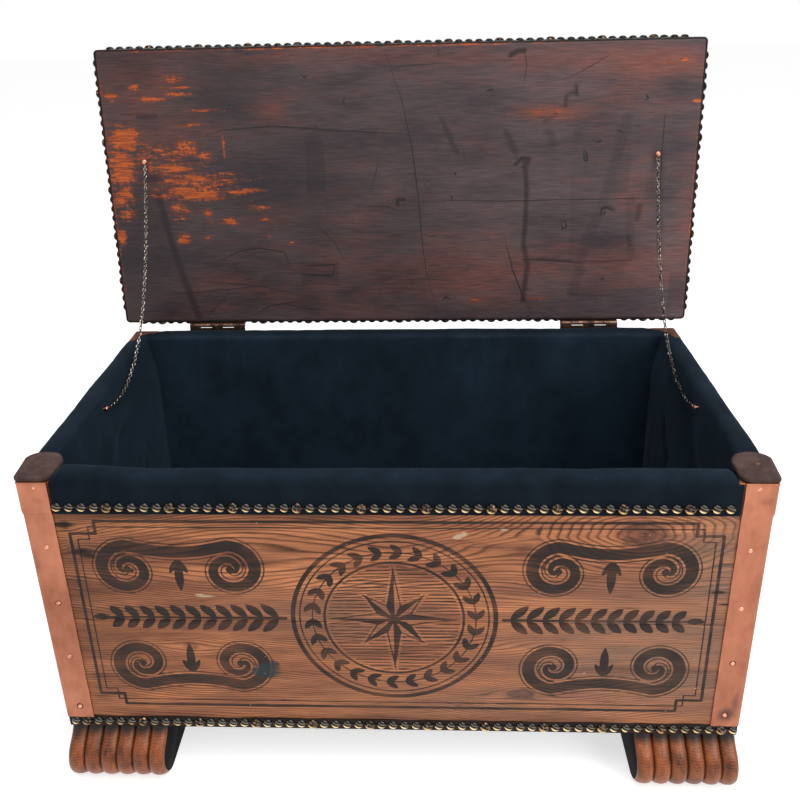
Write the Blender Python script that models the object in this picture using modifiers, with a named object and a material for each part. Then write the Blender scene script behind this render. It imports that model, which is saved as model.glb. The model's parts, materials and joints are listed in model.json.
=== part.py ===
"""Storage chest: a pine crate on ribbed feet, lined with velvet, with a padded lid.

The crate is drawn round its own centre, X to the right, Y to the back and Z up from
the floor. The lid is drawn shut, in the frame of its hinge pins, and then turned open
to where its chains hold it. Last, the whole chest is moved along Y, so that the origin
lies under the middle of the open chest. All lengths are in metres.
"""

import math

import bmesh
import bpy
from mathutils import Matrix, Vector

MM = 0.001

# Clearances
GAP = 0.3 * MM
OVERRUN = 4 * MM
BITE = 0.4 * MM

# Crate boards
BOX_WIDTH = 783 * MM
BOX_DEPTH = 378 * MM
BOARD = 16 * MM
LOWER_BOARD_HEIGHT = 145 * MM
UPPER_BOARD_HEIGHT = 182 * MM
BOARD_EASE = 0.8 * MM
BASE_THICKNESS = 15 * MM

# Feet
FOOT_HEIGHT = 73 * MM
FOOT_WIDTH = 112 * MM
FOOT_DEPTH = 110 * MM
FOOT_INSET = 1 * MM
FOOT_RIBS = 6
FOOT_RIB_DEPTH = 6 * MM
FOOT_ROLL_RADIUS = 29.5 * MM
FOOT_ROLL_SETBACK = 9 * MM
FOOT_NECK_SETBACK = 10 * MM
FOOT_NECK_RISE = 8 * MM
FOOT_ROLL_STEPS = 7
FOOT_ROLL_TOP_DEG = 52
STEPS_PER_RIB = 4

# Copper corners and their screws
COPPER = 1 * MM
COPPER_WIDTH = 33 * MM
COPPER_LIP_WIDTH = 11 * MM
COPPER_SCREWS = 5
COPPER_SCREW_END = 9 * MM
COPPER_SCREW_OFFSET = 19.5 * MM
COPPER_SCREW_RADIUS = 2.8 * MM
COPPER_SCREW_RISE = 1.3 * MM

# Leather caps on the front corners
CAP_WIDTH = 38 * MM
CAP_DEPTH = 50 * MM
CAP_THICKNESS = 5.5 * MM
CAP_OVERHANG = 1.5 * MM
CAP_FRONT_ROUND = 9 * MM
CAP_REAR_ROUND = 18 * MM
CAP_EASE = 1 * MM

# Velvet lining and the wadding under its rolled rim
LINING_THICKNESS = 7.7 * MM
VELVET = 1.5 * MM
SKIRT_HEIGHT = 38 * MM
ROLL_DROP = 3 * MM
FRONT_ROLL_RISE = 10.5 * MM
SIDE_ROLL_RISE = 6 * MM
BACK_ROLL_RISE = 4 * MM
FLOOR_PANEL = 6 * MM
ROLL_STEPS = 8
ROLL_FULLNESS = 0.7

# Nail strips
NAIL_PITCH = 13.5 * MM
NAIL_RADIUS = 4.6 * MM
NAIL_RISE = 2.8 * MM
NAIL_TOP_SHARE = 0.55
WEB_HALF_WIDTH = 1.2 * MM
WEB_THICKNESS = 0.8 * MM
TOP_STRIP_ABOVE_HEM = 9 * MM
BASE_STRIP_BELOW_TOP = 7 * MM

# Lid
LID_SIDE_OVERHANG = 16 * MM
LID_FRONT_OVERHANG = 10 * MM
LID_BOARD = 18 * MM
LID_CORNER = 4 * MM
LID_LEAN_DEG = 3.7
LEATHER = 1.5 * MM
PAD_EDGE_HEIGHT = 14 * MM
PAD_CROWN = 18 * MM
CORNER_STEPS = 3
LID_STRIP_ABOVE_UNDERSIDE = 6 * MM
LID_STRIP_CORNER_MARGIN = 12 * MM

# Hinges
HINGE_LENGTH = 82 * MM
HINGE_CENTRE_INSET = 120 * MM
HINGE_LEAF = 1.5 * MM
HINGE_BOX_LEAF_HEIGHT = 22 * MM
HINGE_LID_LEAF_HEIGHT = 20 * MM
KNUCKLES = 5
KNUCKLE_RADIUS = 3 * MM
KNUCKLE_BORE = 1.8 * MM
KNUCKLE_SIDES = 12
PIN_RADIUS = 1.35 * MM
LID_ABOVE_PIN = 4 * MM
LID_ABOVE_FRONT_ROLL = 1 * MM

# Chains and their screws
CHAIN_THICKNESS = 4 * MM
CHAIN_SLACK_SHARE = 0.1167
CHAIN_STEPS = 32
CHAIN_SCREW_RADIUS = 4.2 * MM
CHAIN_SCREW_RISE = 3 * MM
LID_SCREW_FROM_REAR = 238 * MM
LID_SCREW_INSET = 13.5 * MM
BOX_SCREW_BEHIND_FRONT = 175 * MM
BOX_SCREW_BELOW_RIM = 12 * MM
DOME_SIDES = 8

# Heights and faces that follow from the sizes above
BASE_TOP = FOOT_HEIGHT + BASE_THICKNESS
BOARDS_FOOT = BASE_TOP + GAP
BOARDS_TOP = BOARDS_FOOT + LOWER_BOARD_HEIGHT + GAP + UPPER_BOARD_HEIGHT
LIP_TOP = BOARDS_TOP + GAP + COPPER
HALF_WIDTH = BOX_WIDTH / 2
HALF_DEPTH = BOX_DEPTH / 2
SKIRT_OUT = GAP + VELVET
LINING_FACE = BOARD + GAP + LINING_THICKNESS
ROLL_FOOT = BOARDS_TOP - ROLL_DROP
HEM = BOARDS_TOP - SKIRT_HEIGHT
FLOOR_TOP = BASE_TOP + GAP + FLOOR_PANEL
LID_WIDTH = BOX_WIDTH + 2 * LID_SIDE_OVERHANG
LID_DEPTH = BOX_DEPTH + LID_FRONT_OVERHANG
LID_UNDERSIDE = LIP_TOP + FRONT_ROLL_RISE + LID_ABOVE_FRONT_ROLL
PIN_HEIGHT = LID_UNDERSIDE - LID_ABOVE_PIN
LEAF_FACE = HALF_DEPTH + SKIRT_OUT + GAP
PIN_DEPTH = LEAF_FACE + KNUCKLE_RADIUS
LID_REAR = LEAF_FACE - GAP - LEATHER - GAP - PIN_DEPTH
LID_FRONT = LID_REAR - LID_DEPTH
OPEN_TURN = math.radians(90 + LID_LEAN_DEG)
HINGE_CENTRE = HALF_WIDTH - HINGE_CENTRE_INSET
LID_SCREW_CENTRE = HALF_WIDTH - LINING_FACE - LID_SCREW_INSET

chest = bpy.data.collections.new("storage_chest")
cutters = bpy.data.collections.new("cutters")


def clear_scene():
    for item in list(bpy.data.objects):
        bpy.data.objects.remove(item, do_unlink=True)
    for group in (chest, cutters):
        bpy.context.scene.collection.children.link(group)


def finish(name, colour, roughness, metallic=0.0):
    """One Principled material."""
    material = bpy.data.materials.new(name)
    material.use_nodes = True
    shader = material.node_tree.nodes["Principled BSDF"]
    shader.inputs["Base Color"].default_value = (*colour, 1.0)
    shader.inputs["Roughness"].default_value = roughness
    shader.inputs["Metallic"].default_value = metallic
    return material


def helper(name, mesh):
    """An object that only cuts or joins."""
    item = bpy.data.objects.new(name, mesh)
    cutters.objects.link(item)
    item.hide_render = True
    item.display_type = "WIRE"
    return item


def part(name, mesh, colour, roughness, metallic=0.0, parent=None):
    """A named piece of the chest, in its own material."""
    item = bpy.data.objects.new(name, mesh)
    chest.objects.link(item)
    item.data.materials.clear()
    item.data.materials.append(finish(name, colour, roughness, metallic))
    item.parent = parent
    item.data.shade_smooth()
    item.data.set_sharp_from_angle(angle=math.radians(35))
    return item


def empty(name, parent=None):
    item = bpy.data.objects.new(name, None)
    chest.objects.link(item)
    item.parent = parent
    return item


def mesh_of(name, shape):
    mesh = bpy.data.meshes.new(name)
    shape.to_mesh(mesh)
    shape.free()
    return mesh


def box(name, low, high):
    """A mesh box between two corners."""
    low, high = Vector(low), Vector(high)
    shape = bmesh.new()
    bmesh.ops.create_cube(shape, size=1)
    middle = Matrix.Translation((low + high) / 2)
    bmesh.ops.transform(shape, matrix=middle @ Matrix.Diagonal((high - low).to_4d()), verts=shape.verts)
    return mesh_of(name, shape)


def rod(name, radius, length, sides):
    """A mesh cylinder along X."""
    shape = bmesh.new()
    bmesh.ops.create_cone(
        shape,
        cap_ends=True,
        segments=sides,
        radius1=radius,
        radius2=radius,
        depth=length,
        matrix=Matrix.Rotation(math.pi / 2, 4, "Y"),
    )
    return mesh_of(name, shape)


def dome(name, radius, rise, stem):
    """A screw head along +Z, with a short stem below its rim."""
    shape = bmesh.new()
    bmesh.ops.create_cone(
        shape,
        cap_ends=True,
        segments=DOME_SIDES,
        radius1=radius,
        radius2=radius,
        depth=stem,
        matrix=Matrix.Translation((0, 0, -stem / 2)),
    )
    crown = max(shape.faces, key=lambda face: face.calc_center_median().z)
    bmesh.ops.inset_individual(shape, faces=[crown], thickness=radius * (1 - NAIL_TOP_SHARE))
    bmesh.ops.translate(shape, verts=crown.verts, vec=(0, 0, rise))
    return mesh_of(name, shape)


def arc(centre, radii, start_deg, end_deg, steps, fullness=1):
    """Points along an ellipse's arc in a plane, squarer where fullness is below 1."""
    points = []
    for i in range(steps + 1):
        turn = math.radians(start_deg + (end_deg - start_deg) * i / steps)
        reach = []
        for share in (math.cos(turn), math.sin(turn)):
            reach.append(math.copysign(abs(share) ** fullness, share))
        points.append((centre[0] + radii[0] * reach[0], centre[1] + radii[1] * reach[1]))
    return points


def slab(name, outline, thickness):
    """A mesh plate of a flat outline in XY, half of its thickness to each side."""
    curve = bpy.data.curves.new(name, "CURVE")
    curve.dimensions = "2D"
    curve.fill_mode = "BOTH"
    curve.extrude = thickness / 2
    line = curve.splines.new("POLY")
    line.points.add(len(outline) - 1)
    for point, place in zip(line.points, outline):
        point.co = (*place, 0, 1)
    line.use_cyclic_u = True
    return meshed(name, curve)


def outward(mesh):
    """The same closed mesh with its faces pointing out."""
    shape = bmesh.new()
    shape.from_mesh(mesh)
    bmesh.ops.recalc_face_normals(shape, faces=shape.faces)
    if shape.calc_volume(signed=True) < 0:
        bmesh.ops.reverse_faces(shape, faces=shape.faces)
    shape.to_mesh(mesh)
    shape.free()
    return mesh


def meshed(name, curve):
    """The mesh of a curve, with its caps welded on."""
    item = bpy.data.objects.new(name, curve)
    chest.objects.link(item)
    graph = bpy.context.evaluated_depsgraph_get()
    mesh = bpy.data.meshes.new_from_object(item.evaluated_get(graph))
    bpy.data.objects.remove(item, do_unlink=True)
    shape = bmesh.new()
    shape.from_mesh(mesh)
    bmesh.ops.remove_doubles(shape, verts=shape.verts, dist=GAP / 100)
    shape.to_mesh(mesh)
    shape.free()
    return outward(mesh)


def loft(name, rings):
    """A closed solid through rings with equally many points."""
    shape = bmesh.new()
    rows = [[shape.verts.new(point) for point in ring] for ring in rings]
    for near, far in zip(rows, rows[1:]):
        for i in range(len(near)):
            j = (i + 1) % len(near)
            shape.faces.new((near[i], near[j], far[j], far[i]))
    shape.faces.new(rows[0])
    shape.faces.new(rows[-1])
    return outward(mesh_of(name, shape))


def combine(item, mesh, operation):
    """Joins a mesh to a piece, or cuts it out."""
    modifier = item.modifiers.new(mesh.name, "BOOLEAN")
    modifier.operation = operation
    modifier.solver = "EXACT"
    modifier.object = helper(mesh.name, mesh)
    modifier.object.parent = item.parent


def ease(item, width):
    modifier = item.modifiers.new("ease", "BEVEL")
    modifier.width = width
    modifier.segments = 1


def merged(name, meshes):
    """Several separate meshes as one, to join to a piece in one go."""
    shape = bmesh.new()
    for mesh, matrix in meshes:
        mesh = mesh.copy()
        mesh.transform(matrix)
        shape.from_mesh(mesh)
    return mesh_of(name, shape)


def turned(angle):
    """The frame of a wall: its outer side faces -Y before the turn."""
    return Matrix.Rotation(angle, 4, "Z")


WALLS = {
    "front": (turned(0), HALF_WIDTH, HALF_DEPTH),
    "right": (turned(math.pi / 2), HALF_DEPTH, HALF_WIDTH),
    "back": (turned(math.pi), HALF_WIDTH, HALF_DEPTH),
    "left": (turned(-math.pi / 2), HALF_DEPTH, HALF_WIDTH),
}


# Crate
def crate(frame):
    pine = (0.28, 0.13, 0.07)
    joint = BOARDS_FOOT + LOWER_BOARD_HEIGHT
    rows = {"lower": (BOARDS_FOOT, joint), "upper": (joint + GAP, BOARDS_TOP)}
    for wall, (turn, half_length, half_span) in WALLS.items():
        end = half_length if wall in ("front", "back") else half_length - BOARD - GAP
        for row, (low, high) in rows.items():
            name = f"{wall}_board_{row}"
            mesh = box(name, (-end, -half_span, low), (end, -half_span + BOARD, high))
            mesh.transform(turn)
            ease(part(name, mesh, pine, 0.6, parent=frame), BOARD_EASE)
    base = box(
        "base_board",
        (-HALF_WIDTH, -HALF_DEPTH, FOOT_HEIGHT),
        (HALF_WIDTH, HALF_DEPTH, BASE_TOP),
    )
    ease(part("base_board", base, (0.06, 0.04, 0.035), 0.6, parent=frame), BOARD_EASE)


# Feet
def foot_profile(groove):
    """The foot's side outline, from the floor up its rolled front to the neck.

    The points are (forward, up) from the crate's face, drawn in by the groove's depth.
    """
    centre = (-FOOT_ROLL_SETBACK, FOOT_ROLL_RADIUS)
    points = []
    for i in range(FOOT_ROLL_STEPS + 1):
        share = i / FOOT_ROLL_STEPS
        turn = math.radians(-90 + (90 + FOOT_ROLL_TOP_DEG) * share)
        radius = FOOT_ROLL_RADIUS - groove * min(1, 2 * share)
        points.append((centre[0] + radius * math.cos(turn), centre[1] + radius * math.sin(turn)))
    neck = FOOT_HEIGHT - GAP
    points.append((-FOOT_NECK_SETBACK - groove / 2, neck - FOOT_NECK_RISE))
    points.append((-FOOT_NECK_SETBACK - groove / 2, neck))
    return points


def foot(name, frame, side, facing):
    """One ribbed foot. Side is -1 left or 1 right, and facing is -1 front or 1 back."""
    outer = HALF_WIDTH - FOOT_INSET
    stations = FOOT_RIBS * STEPS_PER_RIB
    rings = []
    for i in range(stations + 1):
        across = 2 * (i % STEPS_PER_RIB) / STEPS_PER_RIB - 1
        groove = FOOT_RIB_DEPTH * (1 - math.sqrt(max(0, 1 - across * across)))
        x = side * (outer - FOOT_WIDTH * i / stations)
        ring = [Vector((x, facing * (HALF_DEPTH + out), up)) for out, up in foot_profile(groove)]
        back = facing * (HALF_DEPTH - FOOT_DEPTH)
        ring.append(Vector((x, back, FOOT_HEIGHT - GAP)))
        ring.append(Vector((x, back, 0)))
        rings.append(ring)
    part(name, loft(name, rings), (0.3, 0.1, 0.04), 0.4, parent=frame)


def feet(frame):
    for row, facing in (("front", -1), ("back", 1)):
        for hand, side in (("left", -1), ("right", 1)):
            foot(f"foot_{row}_{hand}", frame, side, facing)


# Copper corners
def l_outline(outer, leg, width):
    """An L round a corner at the origin, its legs along +X and +Y."""
    return [
        (-outer, -outer),
        (leg, -outer),
        (leg, width - outer),
        (width - outer, width - outer),
        (width - outer, leg),
        (-outer, leg),
    ]


def screw_heads():
    """The screw heads of one copper corner, on both of its faces."""
    low = BOARDS_FOOT + COPPER_SCREW_END
    step = (BOARDS_TOP - COPPER_SCREW_END - low) / (COPPER_SCREWS - 1)
    head = dome("head", COPPER_SCREW_RADIUS, COPPER_SCREW_RISE, BITE)
    out = GAP + COPPER
    heads = []
    for i in range(COPPER_SCREWS):
        z = low + step * i
        front = Matrix.Translation((COPPER_SCREW_OFFSET, -out, z)) @ Matrix.Rotation(math.pi / 2, 4, "X")
        side = Matrix.Translation((-out, COPPER_SCREW_OFFSET, z)) @ Matrix.Rotation(-math.pi / 2, 4, "Y")
        heads += [(head, front), (head, side)]
    return merged("copper_screws", heads)


def copper_corner(name, frame, side, facing):
    """A folded copper angle with its lip on the boards' top and its screws."""
    height = LIP_TOP - BOARDS_FOOT
    angle = slab(name, l_outline(GAP + COPPER, COPPER_WIDTH, COPPER), height)
    angle.transform(Matrix.Translation((0, 0, BOARDS_FOOT + height / 2)))
    lip = slab(name + "_lip", l_outline(GAP + BITE, COPPER_WIDTH, COPPER_LIP_WIDTH), COPPER)
    lip.transform(Matrix.Translation((0, 0, LIP_TOP - COPPER / 2)))
    heads = screw_heads()
    heads.name = name + "_screws"
    place = Matrix.Translation((side * HALF_WIDTH, facing * HALF_DEPTH, 0))
    place = place @ Matrix.Diagonal((-side, -facing, 1, 1))
    for mesh in (angle, lip, heads):
        mesh.transform(place)
        outward(mesh)
    item = part(name, angle, (0.62, 0.25, 0.13), 0.3, 1.0, parent=frame)
    combine(item, lip, "UNION")
    combine(item, heads, "UNION")


def cap_outline():
    """A front cap from its outer front corner, straight outside and round inside."""
    low = -CAP_OVERHANG
    across, deep = low + CAP_WIDTH, low + CAP_DEPTH
    steps = CORNER_STEPS
    points = [(low, low)]
    front = (across - CAP_FRONT_ROUND, low + CAP_FRONT_ROUND)
    points += arc(front, (CAP_FRONT_ROUND, CAP_FRONT_ROUND), -90, 0, steps)
    rear = (across - CAP_REAR_ROUND, deep - CAP_REAR_ROUND)
    points += arc(rear, (CAP_REAR_ROUND, CAP_REAR_ROUND), 0, 90, steps + 1)
    edge = (low + CAP_FRONT_ROUND, deep - CAP_FRONT_ROUND)
    points += arc(edge, (CAP_FRONT_ROUND, CAP_FRONT_ROUND), 90, 180, steps)
    return points


def corner_cap(name, frame, side):
    cap = slab(name, cap_outline(), CAP_THICKNESS)
    cap.transform(Matrix.Translation((0, 0, LIP_TOP + GAP + CAP_THICKNESS / 2)))
    place = Matrix.Translation((side * HALF_WIDTH, -HALF_DEPTH, 0)) @ Matrix.Diagonal((-side, 1, 1, 1))
    cap.transform(place)
    ease(part(name, outward(cap), (0.09, 0.05, 0.045), 0.85, parent=frame), CAP_EASE)


def corners(frame):
    for row, facing in (("front", -1), ("back", 1)):
        for hand, side in (("left", -1), ("right", 1)):
            copper_corner(f"copper_corner_{row}_{hand}", frame, side, facing)
    for hand, side in (("left", -1), ("right", 1)):
        corner_cap(f"corner_cap_{hand}", frame, side)


# Velvet lining
def lining_outline(rise):
    """A wall's velvet as (inward, up): skirt outside, roll over the top, lining inside."""
    middle = (LINING_FACE - SKIRT_OUT) / 2
    reach = (LINING_FACE + SKIRT_OUT) / 2
    crest = LIP_TOP + rise
    outer = arc((middle, ROLL_FOOT), (reach, crest - ROLL_FOOT), 180, 0, ROLL_STEPS, ROLL_FULLNESS)
    tunnel = crest - VELVET - BOARDS_TOP - GAP
    inner = arc((BOARD / 2, BOARDS_TOP + GAP), (BOARD / 2 + GAP, tunnel), 0, 180, ROLL_STEPS)
    foot_line = BASE_TOP + GAP
    return (
        [(-SKIRT_OUT, HEM)]
        + outer
        + [(LINING_FACE, foot_line), (BOARD + GAP, foot_line)]
        + inner
        + [(-GAP, HEM)]
    )


def mitred(name, outline, half_length, half_span, turn):
    """An outline of (inward, up) run along a wall, its ends cut at 45 degrees."""
    mesh = slab(name, outline, 2 * half_length)
    for vertex in mesh.vertices:
        inward, up, along = vertex.co
        reach = math.copysign(half_length - inward - GAP, along)
        vertex.co = (reach, -half_span + inward, up)
    mesh.transform(turn)
    return mesh


def corner_space(name, side, facing):
    """The room that a copper corner, and a cap in front, take from the velvet."""
    reach = COPPER_WIDTH + GAP
    deep = (CAP_DEPTH if facing < 0 else COPPER_WIDTH) + GAP
    outside = SKIRT_OUT + OVERRUN
    low, high = HEM - OVERRUN, LID_UNDERSIDE + OVERRUN
    place = Matrix.Translation((side * HALF_WIDTH, facing * HALF_DEPTH, 0))
    place = place @ Matrix.Diagonal((-side, -facing, 1, 1))
    pieces = [
        box(name, (-outside, -outside, low), (reach, 0, high)),
        box(name, (-outside, -outside, low), (0, deep, high)),
    ]
    lip = COPPER_LIP_WIDTH + GAP
    top = BOARDS_TOP + GAP / 2
    pieces.append(box(name, (-outside, -outside, top), (reach, lip, high)))
    pieces.append(box(name, (-outside, -outside, top), (lip, deep, high)))
    if facing < 0:
        cap = (CAP_WIDTH, CAP_DEPTH)
        pieces.append(box(name, (-outside, -outside, LIP_TOP), (cap[0], cap[1], high)))
    for mesh in pieces:
        mesh.transform(place)
        outward(mesh)
    return pieces


def lining(frame):
    velvet = (0.008, 0.013, 0.02)
    rises = {
        "front": FRONT_ROLL_RISE,
        "right": SIDE_ROLL_RISE,
        "back": BACK_ROLL_RISE,
        "left": SIDE_ROLL_RISE,
    }
    wall_ends = {
        "front": ((-1, -1), (1, -1)),
        "right": ((1, -1), (1, 1)),
        "back": ((1, 1), (-1, 1)),
        "left": ((-1, 1), (-1, -1)),
    }
    for wall, (turn, half_length, half_span) in WALLS.items():
        name = f"lining_{wall}"
        mesh = mitred(name, lining_outline(rises[wall]), half_length, half_span, turn)
        item = part(name, outward(mesh), velvet, 0.95, parent=frame)
        for side, facing in wall_ends[wall]:
            for space in corner_space(f"{name}_corner", side, facing):
                combine(item, space, "DIFFERENCE")
        wadding(f"rim_wadding_{wall}", frame, wall, rises[wall])
    inside_x = HALF_WIDTH - LINING_FACE - GAP
    inside_y = HALF_DEPTH - LINING_FACE - GAP
    panel = box("lining_floor", (-inside_x, -inside_y, BASE_TOP + GAP), (inside_x, inside_y, FLOOR_TOP))
    part("lining_floor", panel, velvet, 0.95, parent=frame)


def wadding(name, frame, wall, rise):
    """The roll of wadding that lies on a wall's top edge, under the velvet."""
    turn, half_length, half_span = WALLS[wall]
    start = {"front": CAP_WIDTH, "right": CAP_DEPTH, "back": COPPER_WIDTH, "left": COPPER_WIDTH}[wall]
    end = {"front": CAP_WIDTH, "right": COPPER_WIDTH, "back": COPPER_WIDTH, "left": CAP_DEPTH}[wall]
    height = LIP_TOP + rise - VELVET - BOARDS_TOP - 3 * GAP
    outline = arc((BOARD / 2, BOARDS_TOP + GAP), (BOARD / 2 - GAP, height), 0, 180, ROLL_STEPS)
    mesh = slab(name, outline, 2 * (half_length - 2 * GAP) - start - end)
    for vertex in mesh.vertices:
        inward, up, along = vertex.co
        vertex.co = (along + (start - end) / 2, -half_span + inward, up)
    mesh.transform(turn)
    part(name, outward(mesh), (0.6, 0.57, 0.5), 0.95, parent=frame)


# Nail strips
def nail_strip(name, length, place, parent=None):
    """A strip of nail heads on a thin web, along X and facing +Z before its placing."""
    count = max(1, round((length - 2 * NAIL_RADIUS) / NAIL_PITCH))
    pitch = (length - 2 * NAIL_RADIUS) / count
    web = [(-WEB_HALF_WIDTH, 0), (-WEB_HALF_WIDTH / 2, WEB_THICKNESS)]
    head = [(-NAIL_RADIUS, 0), (-NAIL_RADIUS * NAIL_TOP_SHARE, NAIL_RISE)]
    rings = []
    for i in range(count + 1):
        x = -length / 2 + NAIL_RADIUS + pitch * i
        for section, shift in ((web, -pitch / 2), (head, 0)):
            at = max(x + shift, -length / 2)
            half = [Vector((at, across, up)) for across, up in section]
            rings.append(half + [Vector((p.x, -p.y, p.z)) for p in reversed(half)])
    rings.append([Vector((length / 2, p.y, p.z)) for p in rings[0]])
    mesh = loft(name, rings)
    mesh.transform(place)
    return part(name, mesh, (0.35, 0.25, 0.13), 0.3, 1.0, parent=parent)


def on_wall(turn, half_span, out, up):
    """The frame of a strip on the outside of a wall."""
    place = Matrix.Translation((0, -half_span - out, up)) @ Matrix.Rotation(math.pi / 2, 4, "X")
    return turn @ place


def crate_strips(frame):
    for wall, (turn, half_length, half_span) in WALLS.items():
        between = 2 * (half_length - COPPER_WIDTH - GAP)
        place = on_wall(turn, half_span, SKIRT_OUT + GAP, HEM + TOP_STRIP_ABOVE_HEM)
        nail_strip(f"nail_strip_top_{wall}", between, place, frame)
        place = on_wall(turn, half_span, GAP, BASE_TOP - BASE_STRIP_BELOW_TOP)
        nail_strip(f"nail_strip_base_{wall}", 2 * half_length, place, frame)


# Lid, drawn shut round its hinge pins
def rounded(half_width, front, rear, radius, up):
    """A rectangle with round corners, as points at one height."""
    points = []
    for x, y, start_deg, end_deg in (
        (half_width - radius, rear - radius, 0, 90),
        (radius - half_width, rear - radius, 90, 180),
        (radius - half_width, front + radius, 180, 270),
        (half_width - radius, front + radius, 270, 360),
    ):
        points += arc((x, y), (radius, radius), start_deg, end_deg, CORNER_STEPS)
    return [Vector((x, y, up)) for x, y in points]


def crowned(name, grow, foot_up, crown_foot, crown):
    """A padded block with an upright edge and a crown that rises to its middle."""
    inset_shares = (0, 0.02, 0.07, 0.16, 0.3, 0.5, 0.75)
    half_width, half_depth = LID_WIDTH / 2 + grow, LID_DEPTH / 2 + grow
    middle = (LID_REAR + LID_FRONT) / 2
    radius = LID_CORNER + grow
    rings = [rounded(half_width, middle - half_depth, middle + half_depth, radius, foot_up)]
    for share in inset_shares:
        up = crown_foot + crown * math.sqrt(1 - (1 - share) ** 4)
        inset = half_depth * share
        front, rear = middle - half_depth + inset, middle + half_depth - inset
        corner = radius + (half_depth - inset - radius) * share
        rings.append(rounded(half_width - inset, front, rear, corner, up))
    return loft(name, rings)


def lid(axis):
    underside = LID_ABOVE_PIN
    board_top = underside + LID_BOARD
    ring = rounded(LID_WIDTH / 2, LID_FRONT, LID_REAR, LID_CORNER, underside)
    top = [point + Vector((0, 0, LID_BOARD)) for point in ring]
    part("lid_board", loft("lid_board", [ring, top]), (0.08, 0.05, 0.05), 0.55, parent=axis)
    pad_foot = board_top + GAP
    pad = crowned("lid_pad", 0, pad_foot, pad_foot + PAD_EDGE_HEIGHT, PAD_CROWN)
    part("lid_pad", pad, (0.65, 0.6, 0.5), 0.95, parent=axis)
    grow = GAP + LEATHER
    crown_foot = pad_foot + PAD_EDGE_HEIGHT + grow
    cover = crowned("lid_cover", grow, underside, crown_foot, PAD_CROWN)
    item = part("lid_cover", cover, (0.02, 0.014, 0.014), 0.5, parent=axis)
    hollow = crowned("lid_cover_hollow", GAP, underside - OVERRUN, crown_foot - LEATHER, PAD_CROWN)
    combine(item, hollow, "DIFFERENCE")
    lid_strips(axis)


def lid_strips(axis):
    """Nail strips round the lid's edge, left out where the hinge leaves lie."""
    out = GAP + LEATHER + GAP
    up = LID_ABOVE_PIN + LID_STRIP_ABOVE_UNDERSIDE
    middle = Matrix.Translation((0, (LID_REAR + LID_FRONT) / 2, 0))
    margin = 2 * LID_STRIP_CORNER_MARGIN
    half_width, half_depth = LID_WIDTH / 2, LID_DEPTH / 2
    sides = {
        "front": (0, half_depth, LID_WIDTH - margin),
        "right": (math.pi / 2, half_width, LID_DEPTH - margin),
        "left": (-math.pi / 2, half_width, LID_DEPTH - margin),
    }
    for side, (angle, span, length) in sides.items():
        nail_strip(f"nail_strip_lid_{side}", length, middle @ on_wall(turned(angle), span, out, up), axis)
    rear = middle @ on_wall(turned(math.pi), half_depth, out, up)
    inner = HINGE_CENTRE - HINGE_LENGTH / 2 - GAP
    outer = HINGE_CENTRE + HINGE_LENGTH / 2 + GAP
    end = half_width - LID_STRIP_CORNER_MARGIN
    nail_strip("nail_strip_lid_rear_middle", 2 * inner, rear, axis)
    for hand, side in (("left", 1), ("right", -1)):
        shift = Matrix.Translation((side * (outer + end) / 2, 0, 0))
        nail_strip(f"nail_strip_lid_rear_{hand}", end - outer, rear @ shift, axis)


# Hinges
def hinge_leaf(name, height, own_knuckles):
    """A leaf along +Z from the pins: its plate, its knuckles, their tabs and the bore."""
    half = HINGE_LENGTH / 2
    knuckle = HINGE_LENGTH / KNUCKLES
    back = -KNUCKLE_RADIUS
    relief = KNUCKLE_RADIUS + GAP
    reach = (knuckle - GAP) / 2 - BITE
    plate = box(name, (-half, back, relief), (half, back + HINGE_LEAF, height))
    tab = box(name, (-reach, back + BITE / 2, 0), (reach, back + HINGE_LEAF, relief + BITE))
    barrel = rod(name, KNUCKLE_RADIUS, knuckle - GAP, KNUCKLE_SIDES)
    places = [Matrix.Translation((-half + knuckle * (i + 0.5), 0, 0)) for i in own_knuckles]
    knuckles = merged(name + "_knuckles", [(barrel, place) for place in places])
    tabs = merged(name + "_tabs", [(tab, place) for place in places])
    bore = rod(name + "_bore", KNUCKLE_BORE, HINGE_LENGTH + OVERRUN, KNUCKLE_SIDES)
    return plate, knuckles, tabs, bore


def hinge(name, frame, axis, centre):
    """A pair of leaves on one pin: the box leaf hangs down, the lid leaf stands up."""
    bronze = (0.2, 0.11, 0.07)
    pins = Matrix.Translation((centre, PIN_DEPTH, PIN_HEIGHT))
    down = Matrix.Diagonal((1, 1, -1, 1))
    odd = [i for i in range(KNUCKLES) if i % 2 == 0]
    even = [i for i in range(KNUCKLES) if i % 2 == 1]
    leaves = (
        ("box_leaf", frame, pins @ down, HINGE_BOX_LEAF_HEIGHT, odd),
        ("lid_leaf", axis, Matrix.Translation((centre, 0, 0)), HINGE_LID_LEAF_HEIGHT, even),
    )
    for leaf, parent, place, height, own in leaves:
        whole = f"{name}_{leaf}"
        plate, knuckles, tabs, bore = hinge_leaf(whole, height, own)
        for mesh in (plate, knuckles, tabs, bore):
            mesh.transform(place)
            outward(mesh)
        item = part(whole, plate, bronze, 0.4, 1.0, parent=parent)
        combine(item, tabs, "UNION")
        combine(item, knuckles, "UNION")
        combine(item, bore, "DIFFERENCE")
    pin = rod(f"{name}_pin", PIN_RADIUS, HINGE_LENGTH, DOME_SIDES)
    pin.transform(pins)
    part(f"{name}_pin", pin, (0.5, 0.27, 0.16), 0.35, 1.0, parent=frame)


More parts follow.
